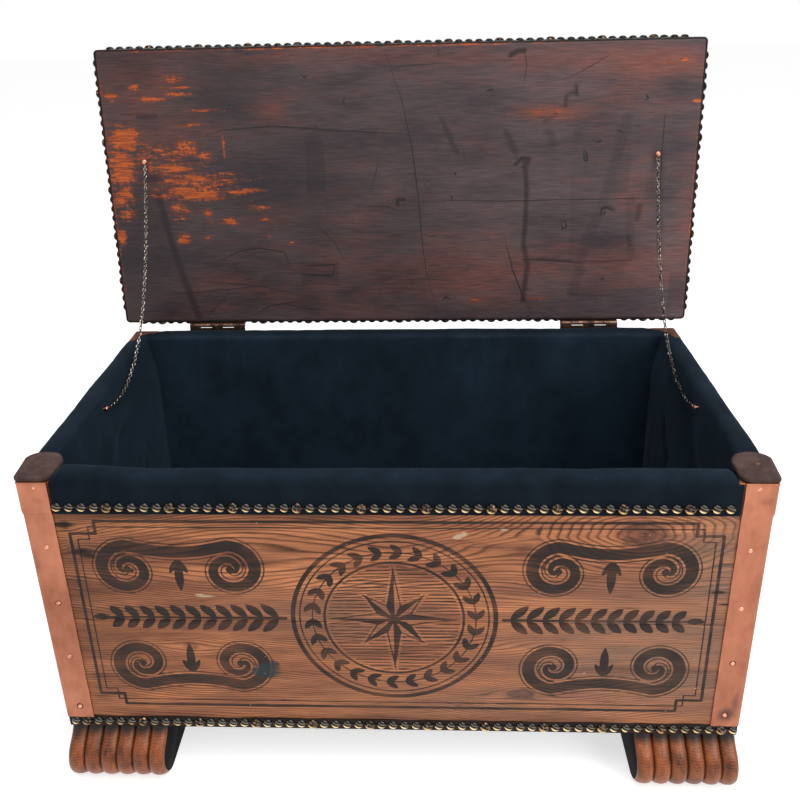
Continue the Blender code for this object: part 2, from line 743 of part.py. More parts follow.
# Chains
def catenary(start, end, slack_share, steps):
    """Points of a chain that hangs between two places, longer than the straight way."""
    length = (end - start).length * (1 + slack_share)
    run = Vector((end.x - start.x, end.y - start.y, 0))
    span, drop = run.length, end.z - start.z
    goal = math.sqrt(length * length - drop * drop)
    low, high = span / 20, span * 20
    for _ in range(60):
        sag = (low + high) / 2
        if 2 * sag * math.sinh(span / (2 * sag)) > goal:
            low = sag
        else:
            high = sag
    lowest = span / 2 - sag * math.atanh(drop / length)
    base = start.z - sag * math.cosh(lowest / sag)
    points = []
    for i in range(steps + 1):
        along = span * i / steps
        place = start + run * (i / steps)
        points.append(Vector((place.x, place.y, base + sag * math.cosh((along - lowest) / sag))))
    return points


def tube(name, points, thickness):
    curve = bpy.data.curves.new(name, "CURVE")
    curve.dimensions = "3D"
    curve.bevel_depth = thickness / 2
    curve.bevel_resolution = 1
    curve.use_fill_caps = True
    line = curve.splines.new("POLY")
    line.points.add(len(points) - 1)
    for point, place in zip(line.points, points):
        point.co = (*place, 1)
    return meshed(name, curve)


def chains(frame, axis):
    """Each chain from its screw in the lining to its screw in the open lid."""
    copper = (0.62, 0.27, 0.15)
    open_lid = Matrix.Translation((0, PIN_DEPTH, PIN_HEIGHT)) @ Matrix.Rotation(-OPEN_TURN, 4, "X")
    for hand, side in (("left", -1), ("right", 1)):
        wall_x = side * (HALF_WIDTH - LINING_FACE - GAP)
        wall_y = BOX_SCREW_BEHIND_FRONT - HALF_DEPTH
        wall_z = BOARDS_TOP - BOX_SCREW_BELOW_RIM
        head = dome("head", CHAIN_SCREW_RADIUS, CHAIN_SCREW_RISE - BITE, BITE)
        stand = Matrix.Translation((0, 0, BITE))
        to_inside = Matrix.Rotation(-side * math.pi / 2, 4, "Y")
        wall_head = head.copy()
        wall_head.transform(Matrix.Translation((wall_x, wall_y, wall_z)) @ to_inside @ stand)
        part(f"chain_screw_box_{hand}", wall_head, copper, 0.35, 1.0, parent=frame)
        lid_place = Vector((side * LID_SCREW_CENTRE, LID_REAR - LID_SCREW_FROM_REAR, LID_ABOVE_PIN - GAP))
        lid_head = head.copy()
        lid_head.transform(Matrix.Translation(lid_place) @ Matrix.Rotation(math.pi, 4, "X") @ stand)
        part(f"chain_screw_lid_{hand}", lid_head, copper, 0.35, 1.0, parent=axis)
        clear = CHAIN_SCREW_RISE + GAP + CHAIN_THICKNESS / 2
        start = Vector((wall_x - side * clear, wall_y, wall_z))
        end = open_lid @ (lid_place - Vector((0, 0, clear)))
        route = catenary(start, end, CHAIN_SLACK_SHARE, CHAIN_STEPS)
        mesh = tube(f"chain_{hand}", route, CHAIN_THICKNESS)
        part(f"chain_{hand}", mesh, (0.3, 0.25, 0.18), 0.35, 1.0, parent=frame)


def centre_over_origin(frame):
    """Moves the chest along Y until the open chest's middle is over the origin."""
    graph = bpy.context.evaluated_depsgraph_get()
    reach = []
    for item in chest.objects:
        if item.type == "MESH":
            seen = item.evaluated_get(graph)
            reach += [(seen.matrix_world @ vertex.co).y for vertex in seen.data.vertices]
    frame.location.y = -(min(reach) + max(reach)) / 2


def build():
    clear_scene()
    frame = empty("chest_frame")
    axis = empty("lid_hinge_axis", frame)
    axis.location = (0, PIN_DEPTH, PIN_HEIGHT)
    crate(frame)
    feet(frame)
    corners(frame)
    lining(frame)
    crate_strips(frame)
    lid(axis)
    for hand, side in (("left", -1), ("right", 1)):
        hinge(f"hinge_{hand}", frame, axis, side * HINGE_CENTRE)
    chains(frame, axis)
    axis.rotation_euler.x = -OPEN_TURN
    bpy.context.view_layer.update()
    centre_over_origin(frame)
    bpy.context.view_layer.update()


build()
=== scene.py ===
"""Looks of the storage chest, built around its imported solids.

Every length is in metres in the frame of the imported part: X to the right, Y to the
back and Z up. The pieces of the lid are drawn as if it were shut, in the frame of
its hinge pins, and then turned open to where its chains hold it.
"""

import json
import logging
import math
from dataclasses import dataclass
from enum import Enum
from functools import cache
from typing import Callable, Iterable, Sequence

import bmesh
import bpy
import numpy as np
from mathutils import Matrix, Vector, noise
from mathutils.kdtree import KDTree


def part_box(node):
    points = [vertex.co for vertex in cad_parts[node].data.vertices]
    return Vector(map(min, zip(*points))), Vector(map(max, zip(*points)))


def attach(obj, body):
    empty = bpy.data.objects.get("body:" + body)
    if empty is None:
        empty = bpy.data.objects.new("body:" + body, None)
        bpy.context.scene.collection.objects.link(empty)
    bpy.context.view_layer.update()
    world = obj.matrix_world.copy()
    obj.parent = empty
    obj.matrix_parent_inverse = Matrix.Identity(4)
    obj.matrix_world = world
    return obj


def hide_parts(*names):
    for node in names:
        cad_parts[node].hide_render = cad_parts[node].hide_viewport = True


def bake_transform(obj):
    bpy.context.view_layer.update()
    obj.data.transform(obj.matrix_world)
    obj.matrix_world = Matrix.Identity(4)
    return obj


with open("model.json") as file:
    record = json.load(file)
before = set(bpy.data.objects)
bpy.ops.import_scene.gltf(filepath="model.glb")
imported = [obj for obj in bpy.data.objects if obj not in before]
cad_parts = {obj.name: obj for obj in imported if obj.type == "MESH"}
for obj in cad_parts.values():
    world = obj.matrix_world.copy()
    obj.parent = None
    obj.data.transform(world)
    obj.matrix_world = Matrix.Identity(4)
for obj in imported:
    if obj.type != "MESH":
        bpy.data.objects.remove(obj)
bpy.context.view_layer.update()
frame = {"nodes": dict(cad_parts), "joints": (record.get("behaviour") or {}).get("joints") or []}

log = logging.getLogger("storage_chest")

MM = 0.001
Point2 = tuple[float, float]
Ring = list[Vector]
# What an input of a node takes: a node, a socket, a number, hex digits or a few numbers
Value = bpy.types.Node | bpy.types.NodeSocket | float | str | Sequence[float]

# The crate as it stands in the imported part
CRATE_LOW, CRATE_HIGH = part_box("base_board")
CRATE_Y = (CRATE_LOW.y + CRATE_HIGH.y) / 2
HALF_WIDTH = CRATE_HIGH.x
HALF_DEPTH = CRATE_HIGH.y - CRATE_Y
BOARDS_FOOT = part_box("front_board_lower")[0].z
BOARDS_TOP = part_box("front_board_upper")[1].z
SKIRT_LENGTH = 38 * MM
HEM = BOARDS_TOP - SKIRT_LENGTH
COPPER_OVER_TOP = 1.3 * MM
LIP_TOP = BOARDS_TOP + COPPER_OVER_TOP
GAP = 0.3 * MM
WAY = {"left": -1, "right": 1, "front": -1, "back": 1}
UPRIGHT = Matrix.Rotation(math.pi / 2, 4, "X")

# The hinge line, and how far the lid is turned open
HINGE = frame["joints"][0]
PIN = Vector(HINGE["pos_m"])
OPEN_DEG = HINGE["range_deg"][1]
LID_PLACE = Matrix.Translation(PIN) @ Matrix.Rotation(math.radians(-OPEN_DEG), 4, "X")


class Body(Enum):
    """The two bodies that pieces ride on."""

    CHEST = "chest"
    LID = "lid"


class Wall(Enum):
    """The crate's walls, each with the turn that brings its outside to face -Y."""

    FRONT = 0
    RIGHT = 90
    BACK = 180
    LEFT = 270

    @property
    def word(self) -> str:
        """The wall's name as it stands in the names of nodes."""
        return self.name.lower()

    @property
    def long(self) -> bool:
        """True for the front and the back."""
        return self in (Wall.FRONT, Wall.BACK)

    @property
    def half_length(self) -> float:
        """Half the wall's length."""
        return HALF_WIDTH if self.long else HALF_DEPTH

    @property
    def place(self) -> Matrix:
        """From (along, inward, up) at the wall's outer face to the frame of the part.

        Returns:
            The matrix.
        """
        middle = Matrix.Translation((0, CRATE_Y, 0))
        turn = Matrix.Rotation(math.radians(self.value), 4, "Z")
        half_span = HALF_DEPTH if self.long else HALF_WIDTH
        return middle @ turn @ Matrix.Translation((0, -half_span, 0))


# Nodes and finishes
def linear(hex_colour: str) -> tuple[float, float, float, float]:
    """Turns an sRGB hex colour into linear red, green, blue and alpha.

    Args:
        hex_colour: six digits, after a # or not.

    Returns:
        The four channels, alpha being one.
    """
    digits = hex_colour.lstrip("#")
    channels = [int(digits[i : i + 2], 16) / 255 for i in (0, 2, 4)]
    turned = [c / 12.92 if c <= 0.04045 else ((c + 0.055) / 1.055) ** 2.4 for c in channels]
    return (*turned, 1.0)


class Bench:
    """A node tree, with short words for the nodes that finishes use.

    A value is a node, a socket or a plain value. A colour may be hex digits too.
    """

    def __init__(self, owner: bpy.types.Material | bpy.types.World) -> None:
        """Opens the nodes of a new material or world."""
        owner.use_nodes = True
        self.tree = owner.node_tree

    def add(self, kind: str, links: dict | None = None, **settings: str) -> bpy.types.Node:
        """Adds a node.

        Args:
            kind: the node's type without its ShaderNode prefix.
            links: input name or number, to a value.
            settings: the node's own properties.

        Returns:
            The new node.
        """
        made = self.tree.nodes.new("ShaderNode" + kind)
        for name, value in settings.items():
            setattr(made, name, value)
        self.link(made, links or {})
        return made

    def link(self, made: bpy.types.Node, links: dict) -> None:
        """Sets or links a node's inputs, given by name or number.

        Args:
            made: the node.
            links: input name or number, to a value.
        """
        for key, value in links.items():
            if isinstance(value, str):
                value = linear(value)
            if isinstance(value, bpy.types.Node):
                mixes_colour = value.bl_idname == "ShaderNodeMix"
                value = value.outputs[2 if mixes_colour else 0]
            if isinstance(value, bpy.types.NodeSocket):
                self.tree.links.new(value, made.inputs[key])
            else:
                made.inputs[key].default_value = value

    def math(self, operation: str, *values: Value) -> bpy.types.Node:
        """A Math node on one to three values."""
        return self.add("Math", dict(enumerate(values)), operation=operation)

    def times(self, value: Value, factor: Value) -> bpy.types.Node:
        """A value times a factor."""
        return self.math("MULTIPLY", value, factor)

    def weighed(self, value: Value, weight: Value, other: Value) -> bpy.types.Node:
        """A value times a weight, plus another value."""
        return self.math("MULTIPLY_ADD", value, weight, other)

    def remap(
        self, value: Value, low: float, high: float, first: float = 0.0, last: float = 1.0
    ) -> bpy.types.Node:
        """Turns what runs from low to high into what runs from first to last, and stops there."""
        return self.add("MapRange", {0: value, 1: low, 2: high, 3: first, 4: last})

    def mark(self, name: str) -> bpy.types.NodeSocket:
        """The values that a piece keeps on its points under a name."""
        return self.add("Attribute", attribute_name=name).outputs["Fac"]

    def mix(self, share: Value, under: Value, over: Value, **settings: str) -> bpy.types.Node:
        """Lays a share of one colour over another."""
        return self.add("Mix", {0: share, 6: under, 7: over}, data_type="RGBA", **settings)

    def shade(self, colour: Value, amount: Value) -> bpy.types.Node:
        """A colour made darker or lighter by a factor."""
        return self.mix(1.0, colour, amount, blend_type="MULTIPLY")

    def ramp(self, value: Value, *stops: tuple[float, str]) -> bpy.types.Node:
        """Colours along a value: the first stop, the last, and then any between.

        Args:
            value: what runs from 0 to 1.
            stops: places along it, with their colours.

        Returns:
            The node.
        """
        made = self.add("ValToRGB", {0: value})
        elements = made.color_ramp.elements
        for i, (at, colour) in enumerate(stops):
            stop = elements[i] if i < 2 else elements.new(at)
            stop.position, stop.color = at, linear(colour)
        return made

    def grain(
        self, size_mm: Sequence[float], detail: float = 3.0, rough: float = 0.5, lean: float = 0.0
    ) -> bpy.types.Node:
        """A noise whose grains have real sizes.

        Args:
            size_mm: the grain's length along X, Y and Z in millimetres.
            detail: octaves.
            rough: how strong the fine octaves are.
            lean: radians about X that level the pattern with a leaning piece.

        Returns:
            The noise node.
        """
        place = self.add("TexCoord").outputs["Object"]
        level = self.add("Mapping", {"Vector": place, "Rotation": (lean, 0, 0)})
        sized = self.add("Mapping", {"Vector": level, "Scale": [1 / (s * MM) for s in size_mm]})
        return self.add("TexNoise", {"Vector": sized, "Scale": 1.0, "Detail": detail, "Roughness": rough})

    def cover(
        self,
        colour: Value,
        rough: Value,
        height: Value,
        strength: float,
        deep_mm: float,
        more: dict | None = None,
    ) -> None:
        """Finishes a material.

        Args:
            colour: its colour.
            rough: its roughness.
            height: the height of its fine relief.
            strength: how strongly the relief shows.
            deep_mm: how deep the relief is.
            more: further inputs of the shader.
        """
        bump = self.add("Bump", {"Height": height, "Strength": strength, "Distance": deep_mm * MM})
        look = {"Base Color": colour, "Roughness": rough, "Normal": bump}
        self.link(self.tree.nodes["Principled BSDF"], look | (more or {}))

    def seen_by_lens(self) -> bpy.types.Node:
        """One for what the lens sees itself, in a gloss or through glass, and zero elsewhere.

        Returns:
            The node.
        """
        rays = self.add("LightPath").outputs
        seen = self.math("MAXIMUM", rays["Is Camera Ray"], rays["Is Glossy Ray"])
        return self.math("MAXIMUM", seen, rays["Is Transmission Ray"])


class Finish:
    """What a surface is made of. A kind of finish says in lay() how it looks."""

    name: str

    def lay(self, bench: Bench) -> None:
        """Builds the finish's nodes."""
        raise NotImplementedError


@cache
def dressed(finish: Finish) -> bpy.types.Material:
    """The one material of a finish.

    Args:
        finish: what a surface is made of.

    Returns:
        Its material, made on the first call.
    """
    material = bpy.data.materials.new(finish.name)
    finish.lay(Bench(material))
    return material


@dataclass(frozen=True)
class CratePine(Finish):
    """Old sawn pine, oiled and handled: dark late wood, smoky marks, a darker left end, painted shade under
    the velvet's hem, black stencil ink.
    """

    name: str = "crate_pine"
    early: str = "#d68b5e"
    middle: str = "#9a6046"
    late: str = "#1f0e08"
    smoke_and_shade: str = "#2e1f19"
    ink: str = "#1d1715"
    silver: str = "#8f7868"
    dash: str = "#2e1c15"
    nick: str = "#c9b39c"
    knot: tuple = ((0.38, "#2c1b17"), (0.62, "#7c4a3b"))
    spilt: tuple = (("teal", "#1f3336"), ("paint", "#cdb496"))
    ring: tuple = (
        (0.0, "#4a4a4a"),
        (1.0, "#8f8f8f"),
        (0.14, "#000000"),
        (0.5, "#101010"),
        (0.68, "#b4b4b4"),
        (0.86, "#ffffff"),
    )

    def lay(self, bench: Bench) -> None:
        """Growth lines and marks from the board's own points, fibres and worn ink.

        Args:
            bench: the nodes of its material.
        """
        grain, mix, remap, weighed, times = bench.grain, bench.mix, bench.remap, bench.weighed, bench.times
        growth = weighed(grain((50, 50, 5), 2.0), 0.25, bench.mark("growth"))
        line = bench.ramp(bench.math("FRACT", growth), *self.ring)
        line = times(line, remap(grain((130, 130, 15), 2.0), 0.3, 0.6, 0.6, 1.0))
        # Fibres are 0.3 mm wide; they are drawn at 1.5 mm, or the lens would lose them.
        fibre = grain((45, 45, 1.5), 4.0, 0.65)
        tone = grain((180, 180, 24), 3.0, 0.6)
        wood = mix(remap(tone, 0.34, 0.64), self.early, self.middle)
        wood = mix(times(line, 0.9), wood, self.late)
        wood = mix(bench.mark("heart"), wood, bench.ramp(grain((13, 13, 7), 4.0, 0.6), *self.knot))
        wood = mix(times(bench.mark("silver"), remap(tone, 0.3, 0.6, 0.5, 1.0)), wood, self.silver)
        # Smoky marks and a darker left end, with painted shade under the velvet's hem, from the board's own
        # mark.
        soot_and_shade = weighed(grain((110, 110, 20), 4.0, 0.65), 1.0, bench.mark("smoke_and_shade"))
        wood = mix(remap(soot_and_shade, 0.56, 1.3, 0.0, 0.95), wood, self.smoke_and_shade)
        wood = mix(remap(grain((55, 55, 2.2), 3.0, 0.6), 0.6, 0.68, 0.0, 0.65), wood, self.dash)
        wood = bench.shade(wood, remap(fibre, 0.28, 0.72, 0.68, 1.28))
        rub = grain((24, 24, 2.2), 4.0, 0.7)
        covered = remap(weighed(rub, 0.55, bench.mark("ink")), 0.70, 0.84)
        fade = weighed(grain((75, 75, 28), 3.0), 1.0, times(line, -0.1))
        wood = mix(times(covered, remap(fade, 0.4, 0.68, 0.97, 0.72)), wood, self.ink)
        for name, colour in self.spilt:
            wood = mix(remap(times(bench.mark(name), rub), 0.16, 0.3, 0.0, 0.85), wood, colour)
        wood = mix(remap(grain((5, 5, 3), 1.0), 0.79, 0.82, 0.0, 0.8), wood, self.nick)
        rough = remap(fibre, 0.3, 0.7, 0.46, 0.66)
        bench.cover(wood, rough, weighed(fibre, 0.6, line), 0.6, 0.35, {"Specular IOR Level": 0.2})


@dataclass(frozen=True)
class StainedPine(Finish):
    """Pine stained near-black plum and worn by use: bare orange wood where it flaked."""

    name: str = "lid_stained_pine"
    stain: tuple = ((0.32, "#403639"), (0.66, "#58494a"))
    bare: tuple = ((0.34, "#8a4229"), (0.62, "#c56230"))
    plum: str = "#77483f"
    cool: str = "#2c282e"
    scorched: str = "#7c4330"
    cleft: str = "#1b1617"
    scuff: str = "#15121a"

    def lay(self, bench: Bench) -> None:
        """Stain in streaks along the grain, then wear where the board's marks say.

        Args:
            bench: the nodes of its material.
        """
        mix, remap, weighed, times, mark = bench.mix, bench.remap, bench.weighed, bench.times, bench.mark

        def grain(size_mm: Sequence[float], detail: float, rough: float) -> bpy.types.Node:
            """Grain that leans with the open lid."""
            return bench.grain(size_mm, detail, rough, math.radians(OPEN_DEG))

        streak = grain((110, 40, 60), 4.0, 0.55)
        # The real grain is 0.5 mm wide; at 2 mm it still shows through the lens.
        fine = grain((24, 2.0, 60), 3.0, 0.55)
        hot = weighed(grain((60, 14, 40), 6.0, 0.7), 1.6, mark("warmth"))
        wood = mix(remap(hot, 0.84, 1.6, 0.0, 0.85), bench.ramp(streak, *self.stain), self.plum)
        wood = mix(times(mark("cool"), 1.1), wood, self.cool)
        # Painted light: the board's light mark makes it lighter to the right, and more so at its lower right.
        wood = bench.shade(wood, times(remap(fine, 0.34, 0.66, 0.78, 1.2), mark("light")))
        # Paint let go along the grain first, and broke across it in short cracks.
        flake = times(grain((19, 4.2, 30), 6.0, 0.74), 0.72)
        flake = weighed(grain((5, 8, 5), 3.0, 0.6), 0.28, flake)
        torn = weighed(bench.math("POWER", mark("wear"), 0.8), 2.0, times(flake, 4.2))
        wood = mix(remap(torn, 2.6, 3.08, 0.0, 0.8), wood, self.scorched)
        wood = mix(remap(torn, 3.06, 3.14), wood, bench.ramp(fine, *self.bare))
        wood = mix(remap(grain((30, 2.4, 70), 2.0, 0.5), 0.25, 0.32, 0.75, 0.0), wood, self.cleft)
        wood = mix(mark("scuff"), wood, self.scuff)
        rough = remap(streak, 0.3, 0.7, 0.42, 0.58)
        bench.cover(wood, rough, weighed(fine, 0.7, flake), 0.5, 0.4, {"Specular IOR Level": 0.25})


@dataclass(frozen=True)
class ScoredPine(Finish):
    """The bottom of a cut in the stained board: dark dust and old wax."""

    name: str = "lid_scored_pine"
    dust: tuple = ((0.35, "#0b0909"), (0.65, "#1a1514"))

    def lay(self, bench: Bench) -> None:
        """Near-black with a little of the stain's red.

        Args:
            bench: the nodes of its material.
        """
        speck = bench.grain((6, 6, 2))
        look = {"Base Color": bench.ramp(speck, *self.dust)}
        look["Roughness"] = bench.remap(speck, 0.0, 1.0, 0.6, 0.8)
        bench.link(bench.tree.nodes["Principled BSDF"], look)


@dataclass(frozen=True)
class WaxedWood(Finish):
    """Carved hardwood, stained and waxed: end-grain arcs, painted shade in the grooves and a satin gloss."""

    name: str
    light: str
    dark: str
    grain_mm: tuple[float, float, float]
    gloss: float
    coat: float
    shine: float = 0.3
    arc_mm: float = 0.0
    dust: tuple[str, str] = ("#4a3023", "#94674c")
    shadow: str = "#0f0b0a"
    painted_hollow_shade: str = "#33221a"

    def lay(self, bench: Bench) -> None:
        """Grain lines, a slow change of tone, and wax that fills the pores.

        Args:
            bench: the nodes of its material.
        """
        mix, remap, weighed, times = bench.mix, bench.remap, bench.weighed, bench.times
        arcs = bench.grain(self.grain_mm, 4.0, 0.6)
        if self.arc_mm:
            run = bench.mark("run")
            turns = weighed(run, 1 / self.arc_mm, times(arcs, 1.25))
            peak = bench.math("ABSOLUTE", bench.math("SUBTRACT", bench.math("FRACT", turns), 0.5))
            arcs = weighed(arcs, 0.85, times(peak, remap(run, 24, 62, 0.95, 0.38)))
        tone = bench.grain((40, 40, 25))
        pores = bench.grain([s * 0.28 for s in self.grain_mm], 3.0, 0.6)
        wood = bench.ramp(weighed(tone, 0.5, times(arcs, 0.55)), (0.38, self.dark), (0.68, self.light))
        wood = bench.shade(wood, remap(pores, 0.3, 0.7, 0.7, 1.12))
        if self.arc_mm:
            # Dust dulls the roll's foot, and a painted shadow darkens the ribs' heads under the base.
            dusty = remap(weighed(tone, 24, run), 22, 50, 0.62, 0.0)
            wood = mix(dusty, wood, mix(remap(peak, 0.05, 0.4), *self.dust))
            wood = mix(remap(run, 81, 90, 0.0, 0.96), wood, self.shadow)
        # Painted shade: darker in the hollows, found by the mesh's pointiness.
        hollow = bench.add("NewGeometry").outputs["Pointiness"]
        wood = mix(remap(hollow, 0.44, 0.5, 0.7, 0.0), wood, self.painted_hollow_shade)
        rough = remap(pores, 0.3, 0.7, self.gloss, self.gloss + 0.2)
        wax = {"Coat Weight": self.coat, "Coat Roughness": 0.22, "Specular IOR Level": self.shine}
        bench.cover(wood, rough, pores, 0.35, 0.3, wax)


@dataclass(frozen=True)
class AgedMetal(Finish):
    """A worked metal with patina in blotches and finger marks, and small hammer marks."""

    name: str
    bright: str
    patina: str
    patina_share: float
    blotch_mm: float
    gloss: float
    dent_mm: float
    dent: float
    smut_and_hem_shade: str = "#4b3b38"

    def lay(self, bench: Bench) -> None:
        """Patina between two tones, a gloss that changes with it, and shallow dents.

        Args:
            bench: the nodes of its material.
        """
        mix, remap, size = bench.mix, bench.remap, self.blotch_mm
        smear = bench.grain((size / 5, size / 5, size / 2), 4.0, 0.6)
        both = bench.weighed(smear, 0.35, bench.grain((size, size, size * 1.6), 5.0, 0.62))
        centre = 0.9 - 0.45 * self.patina_share
        metal = mix(remap(both, centre - 0.16, centre + 0.16), self.bright, self.patina)
        # The copper's mark holds its stained patches and a painted shade line along the hem.
        metal = mix(remap(bench.times(bench.mark("stain"), smear), 0.1, 0.4, 0.0, 0.85), metal, self.smut_and_hem_shade)
        rough = remap(both, 0.4, 0.95, self.gloss, self.gloss + 0.24)
        bench.cover(metal, rough, bench.grain((self.dent_mm,) * 3, 2.0), self.dent, 0.5, {"Metallic": 1.0})


@dataclass(frozen=True)
class NailBrass(Finish):
    """Antique brass, blackened, under a painted reflection: a dark crown, a painted highlight band and a
    golden lower edge.
    """

    name: str
    pitted: float = 0.0
    pit: str = "#1f1712"
    rust: str = "#a5764f"
    wear_and_reflection: str = "#d6b47a"
    # Painted reflection along each head: a dark crown, a painted highlight band, a dark middle and a golden
    # lower edge.
    painted_reflection: tuple = (
        (0.0, "#3b3936"),
        (1.0, "#c9a96c"),
        (0.14, "#24221f"),
        (0.28, "#77736c"),
        (0.4, "#1f1d1b"),
        (0.56, "#2b2622"),
        (0.66, "#a38556"),
        (0.8, "#ffeab8"),
    )

    def lay(self, bench: Bench) -> None:
        """A painted reflection from the dark crown of the head down to its golden lower side, with pits in
        real nails.

        Args:
            bench: the nodes of its material.
        """
        mix, remap = bench.mix, bench.remap
        spots = bench.grain((3.0,) * 3, 3.0, 0.6)
        reflection_side = remap(bench.weighed(spots, 0.16, bench.mark("reflection_side")), -0.92, 1.08)
        metal = bench.ramp(reflection_side, *self.painted_reflection)
        if self.pitted:
            pits = bench.grain((2.4,) * 3, 2.0)
            metal = mix(remap(pits, 0.46, 0.55, self.pitted, 0.0), metal, self.pit)
            metal = mix(remap(pits, 0.55, 0.66, 0.0, 0.6), metal, self.rust)
            # Painted reflection: the golden lower edge laid back over the pits.
            metal = mix(remap(reflection_side, 0.7, 0.8), metal, self.wear_and_reflection)
        bench.cover(metal, remap(spots, 0.3, 0.7, 0.18, 0.36), spots, 0.25, 0.4, {"Metallic": 1.0})


@dataclass(frozen=True)
class CottonVelvet(Finish):
    """Dense cotton velvet: near-black blue in the pile, a soft sheen where it bends away."""

    name: str = "navy_cotton_velvet"
    pile: tuple = ((0.52, "#0f1821"), (0.88, "#16222d"))
    lint: str = "#3e4f5c"
    sheen: str = "#86a2ba"

    def lay(self, bench: Bench) -> None:
        """A pile brushed in soft patches, drawn coarser than the real 0.3 mm, under painted light and shade
        set by place.

        Args:
            bench: the nodes of its material.
        """
        remap, weighed = bench.remap, bench.weighed
        strokes = bench.grain((16, 16, 24))
        both = weighed(strokes, 0.4, bench.grain((55, 55, 80), 4.0, 0.6))
        # Painted light and shade: the lining's own mark darkens the skirt and the back's crest, and lightens
        # the inside.
        cloth = bench.shade(bench.ramp(both, *self.pile), remap(bench.mark("painted_velvet_light"), -1.0, 1.0, 0.35, 1.65))
        cloth = bench.mix(remap(bench.grain((2.6,) * 3, 2.0), 0.72, 0.78, 0.0, 0.3), cloth, self.lint)
        height = weighed(bench.grain((1.0,) * 3, 2.0), 0.5, strokes)
        look = {"Specular IOR Level": 0.1, "Sheen Weight": 0.16, "Sheen Roughness": 0.35}
        look["Sheen Tint"] = self.sheen
        bench.cover(cloth, remap(both, 0.4, 0.9, 0.95, 0.8), height, 0.4, 0.7, look)


@dataclass(frozen=True)
class Hide(Finish):
    """Leather: pebbled grain in cells, creases that run across it, worn high places."""

    name: str
    dye: str
    wear_and_reflection: str
    cell_mm: float
    gloss: float
    relief: float
    shine: float = 0.4

    def lay(self, bench: Bench) -> None:
        """Cells of grain, slow creases and a dye worn thin in places.

        Args:
            bench: the nodes of its material.
        """
        links = {"Vector": bench.add("TexCoord").outputs["Object"], "Scale": 1 / (self.cell_mm * MM)}
        cells = bench.add("TexVoronoi", links, feature="DISTANCE_TO_EDGE")
        rub = bench.grain((13,) * 3, 4.0, 0.6)
        hide = bench.mix(bench.remap(rub, 0.45, 0.72), self.dye, self.wear_and_reflection)
        height = bench.weighed(bench.grain((26,) * 3, 5.0, 0.65), 2.0, bench.remap(cells, 0.0, 0.28))
        rough = bench.remap(rub, 0.3, 0.7, self.gloss, self.gloss + 0.18)
        bench.cover(hide, rough, height, self.relief, 0.35, {"Specular IOR Level": self.shine})


@dataclass(frozen=True)
class Stuffing(Finish):
    """Cotton wadding or cut foam: a pale open texture with no gloss."""

    name: str
    pale: str
    dark: str
    cell_mm: float

    def lay(self, bench: Bench) -> None:
        """Soft fibres or cells between two pale tones."""
        fibre = bench.grain((self.cell_mm,) * 3, 4.0, 0.7)
        bench.cover(bench.ramp(fibre, (0.35, self.dark), (0.65, self.pale)), 0.95, fibre, 0.6, 0.6)


CRATE_PINE = CratePine()
STAINED = StainedPine()
SCORED = ScoredPine()
VELVET = CottonVelvet()
BASE_WOOD = WaxedWood("base_stained_dark", "#30221c", "#1a1210", (40.0, 40.0, 2.0), 0.5, 0.0, 0.15)
FOOT_OAK = WaxedWood("foot_waxed_oak", "#ad5f32", "#43200f", (6.0, 14.0, 14.0), 0.36, 0.14, 0.3, 3.3)
FOOT_DARK = WaxedWood("foot_dark_side", "#191616", "#0d0b0b", (9.0, 9.0, 3.0), 0.7, 0.0, 0.1)
COPPER = AgedMetal("rolled_copper", "#b8785d", "#935c46", 0.5, 80.0, 0.3, 45.0, 0.2)
NAIL_FALSE = NailBrass("strip_antique_brass")
NAIL_REAL = NailBrass("nail_pitted_brass", pitted=0.75)
HINGE_BRONZE = AgedMetal("bronzed_steel", "#8c6a58", "#3a2d28", 0.6, 12.0, 0.34, 6.0, 0.3)
PIN_COPPER = AgedMetal("copper_pin", "#d09078", "#8a5a46", 0.4, 9.0, 0.3, 4.0, 0.3)
SCREW_COPPER = AgedMetal("copper_screw", "#e8a184", "#9c5a3e", 0.3, 5.0, 0.22, 3.0, 0.2)
TACK_COPPER = AgedMetal("dull_copper_tack", "#8f6045", "#5a4038", 0.6, 3.0, 0.5, 3.0, 0.3)
# Near-black patina with small bright spots, painted as the links' glints.
CHAIN_BRASS = AgedMetal("chain_antique_brass", "#ddd0c2", "#14100e", 0.7, 2.4, 0.26, 2.0, 0.3)
CAP_LEATHER = Hide("cap_brushed_leather", "#3f2c28", "#644c45", 1.0, 0.75, 1.0)
LID_LEATHER = Hide("lid_black_brown_leather", "#130e0c", "#251b16", 1.4, 0.4, 0.5, 0.24)
# Painted shade: dark matte rings round the copper screws, in their dents.
SCREW_SHADE_RING = Stuffing("screw_painted_shade", "#6b3f2e", "#3c241b", 1.2)
WADDING = Stuffing("cotton_wadding", "#d8d2c2", "#b3ab98", 1.6)
FOAM = Stuffing("upholstery_foam", "#d9cfae", "#b8ab86", 0.9)


# Mesh building
def face_outward(mesh: bpy.types.Mesh) -> None:
    """Turns all faces of a closed mesh to its outside.

    Args:
        mesh: the mesh.
    """
    shape = bmesh.new()
    shape.from_mesh(mesh)
    bmesh.ops.recalc_face_normals(shape, faces=shape.faces)
    if shape.calc_volume(signed=True) < 0:
        bmesh.ops.reverse_faces(shape, faces=shape.faces)
    shape.to_mesh(mesh)
    shape.free()


def shown(name: str, data: bpy.types.ID) -> bpy.types.Object:
    """Puts a new object with its data into the scene.

    Args:
        name: the object's name.
        data: its mesh, lamp or camera.

    Returns:
        The object.
    """
    item = bpy.data.objects.new(name, data)
    bpy.context.scene.collection.objects.link(item)
    return item


def keep(item: bpy.types.Object, name: str, values: Sequence[float]) -> None:
    """Stores a value on each point of a piece, under the name that its finish asks for."""
    item.data.attributes.new(name, "FLOAT", "POINT").data.foreach_set("value", values)


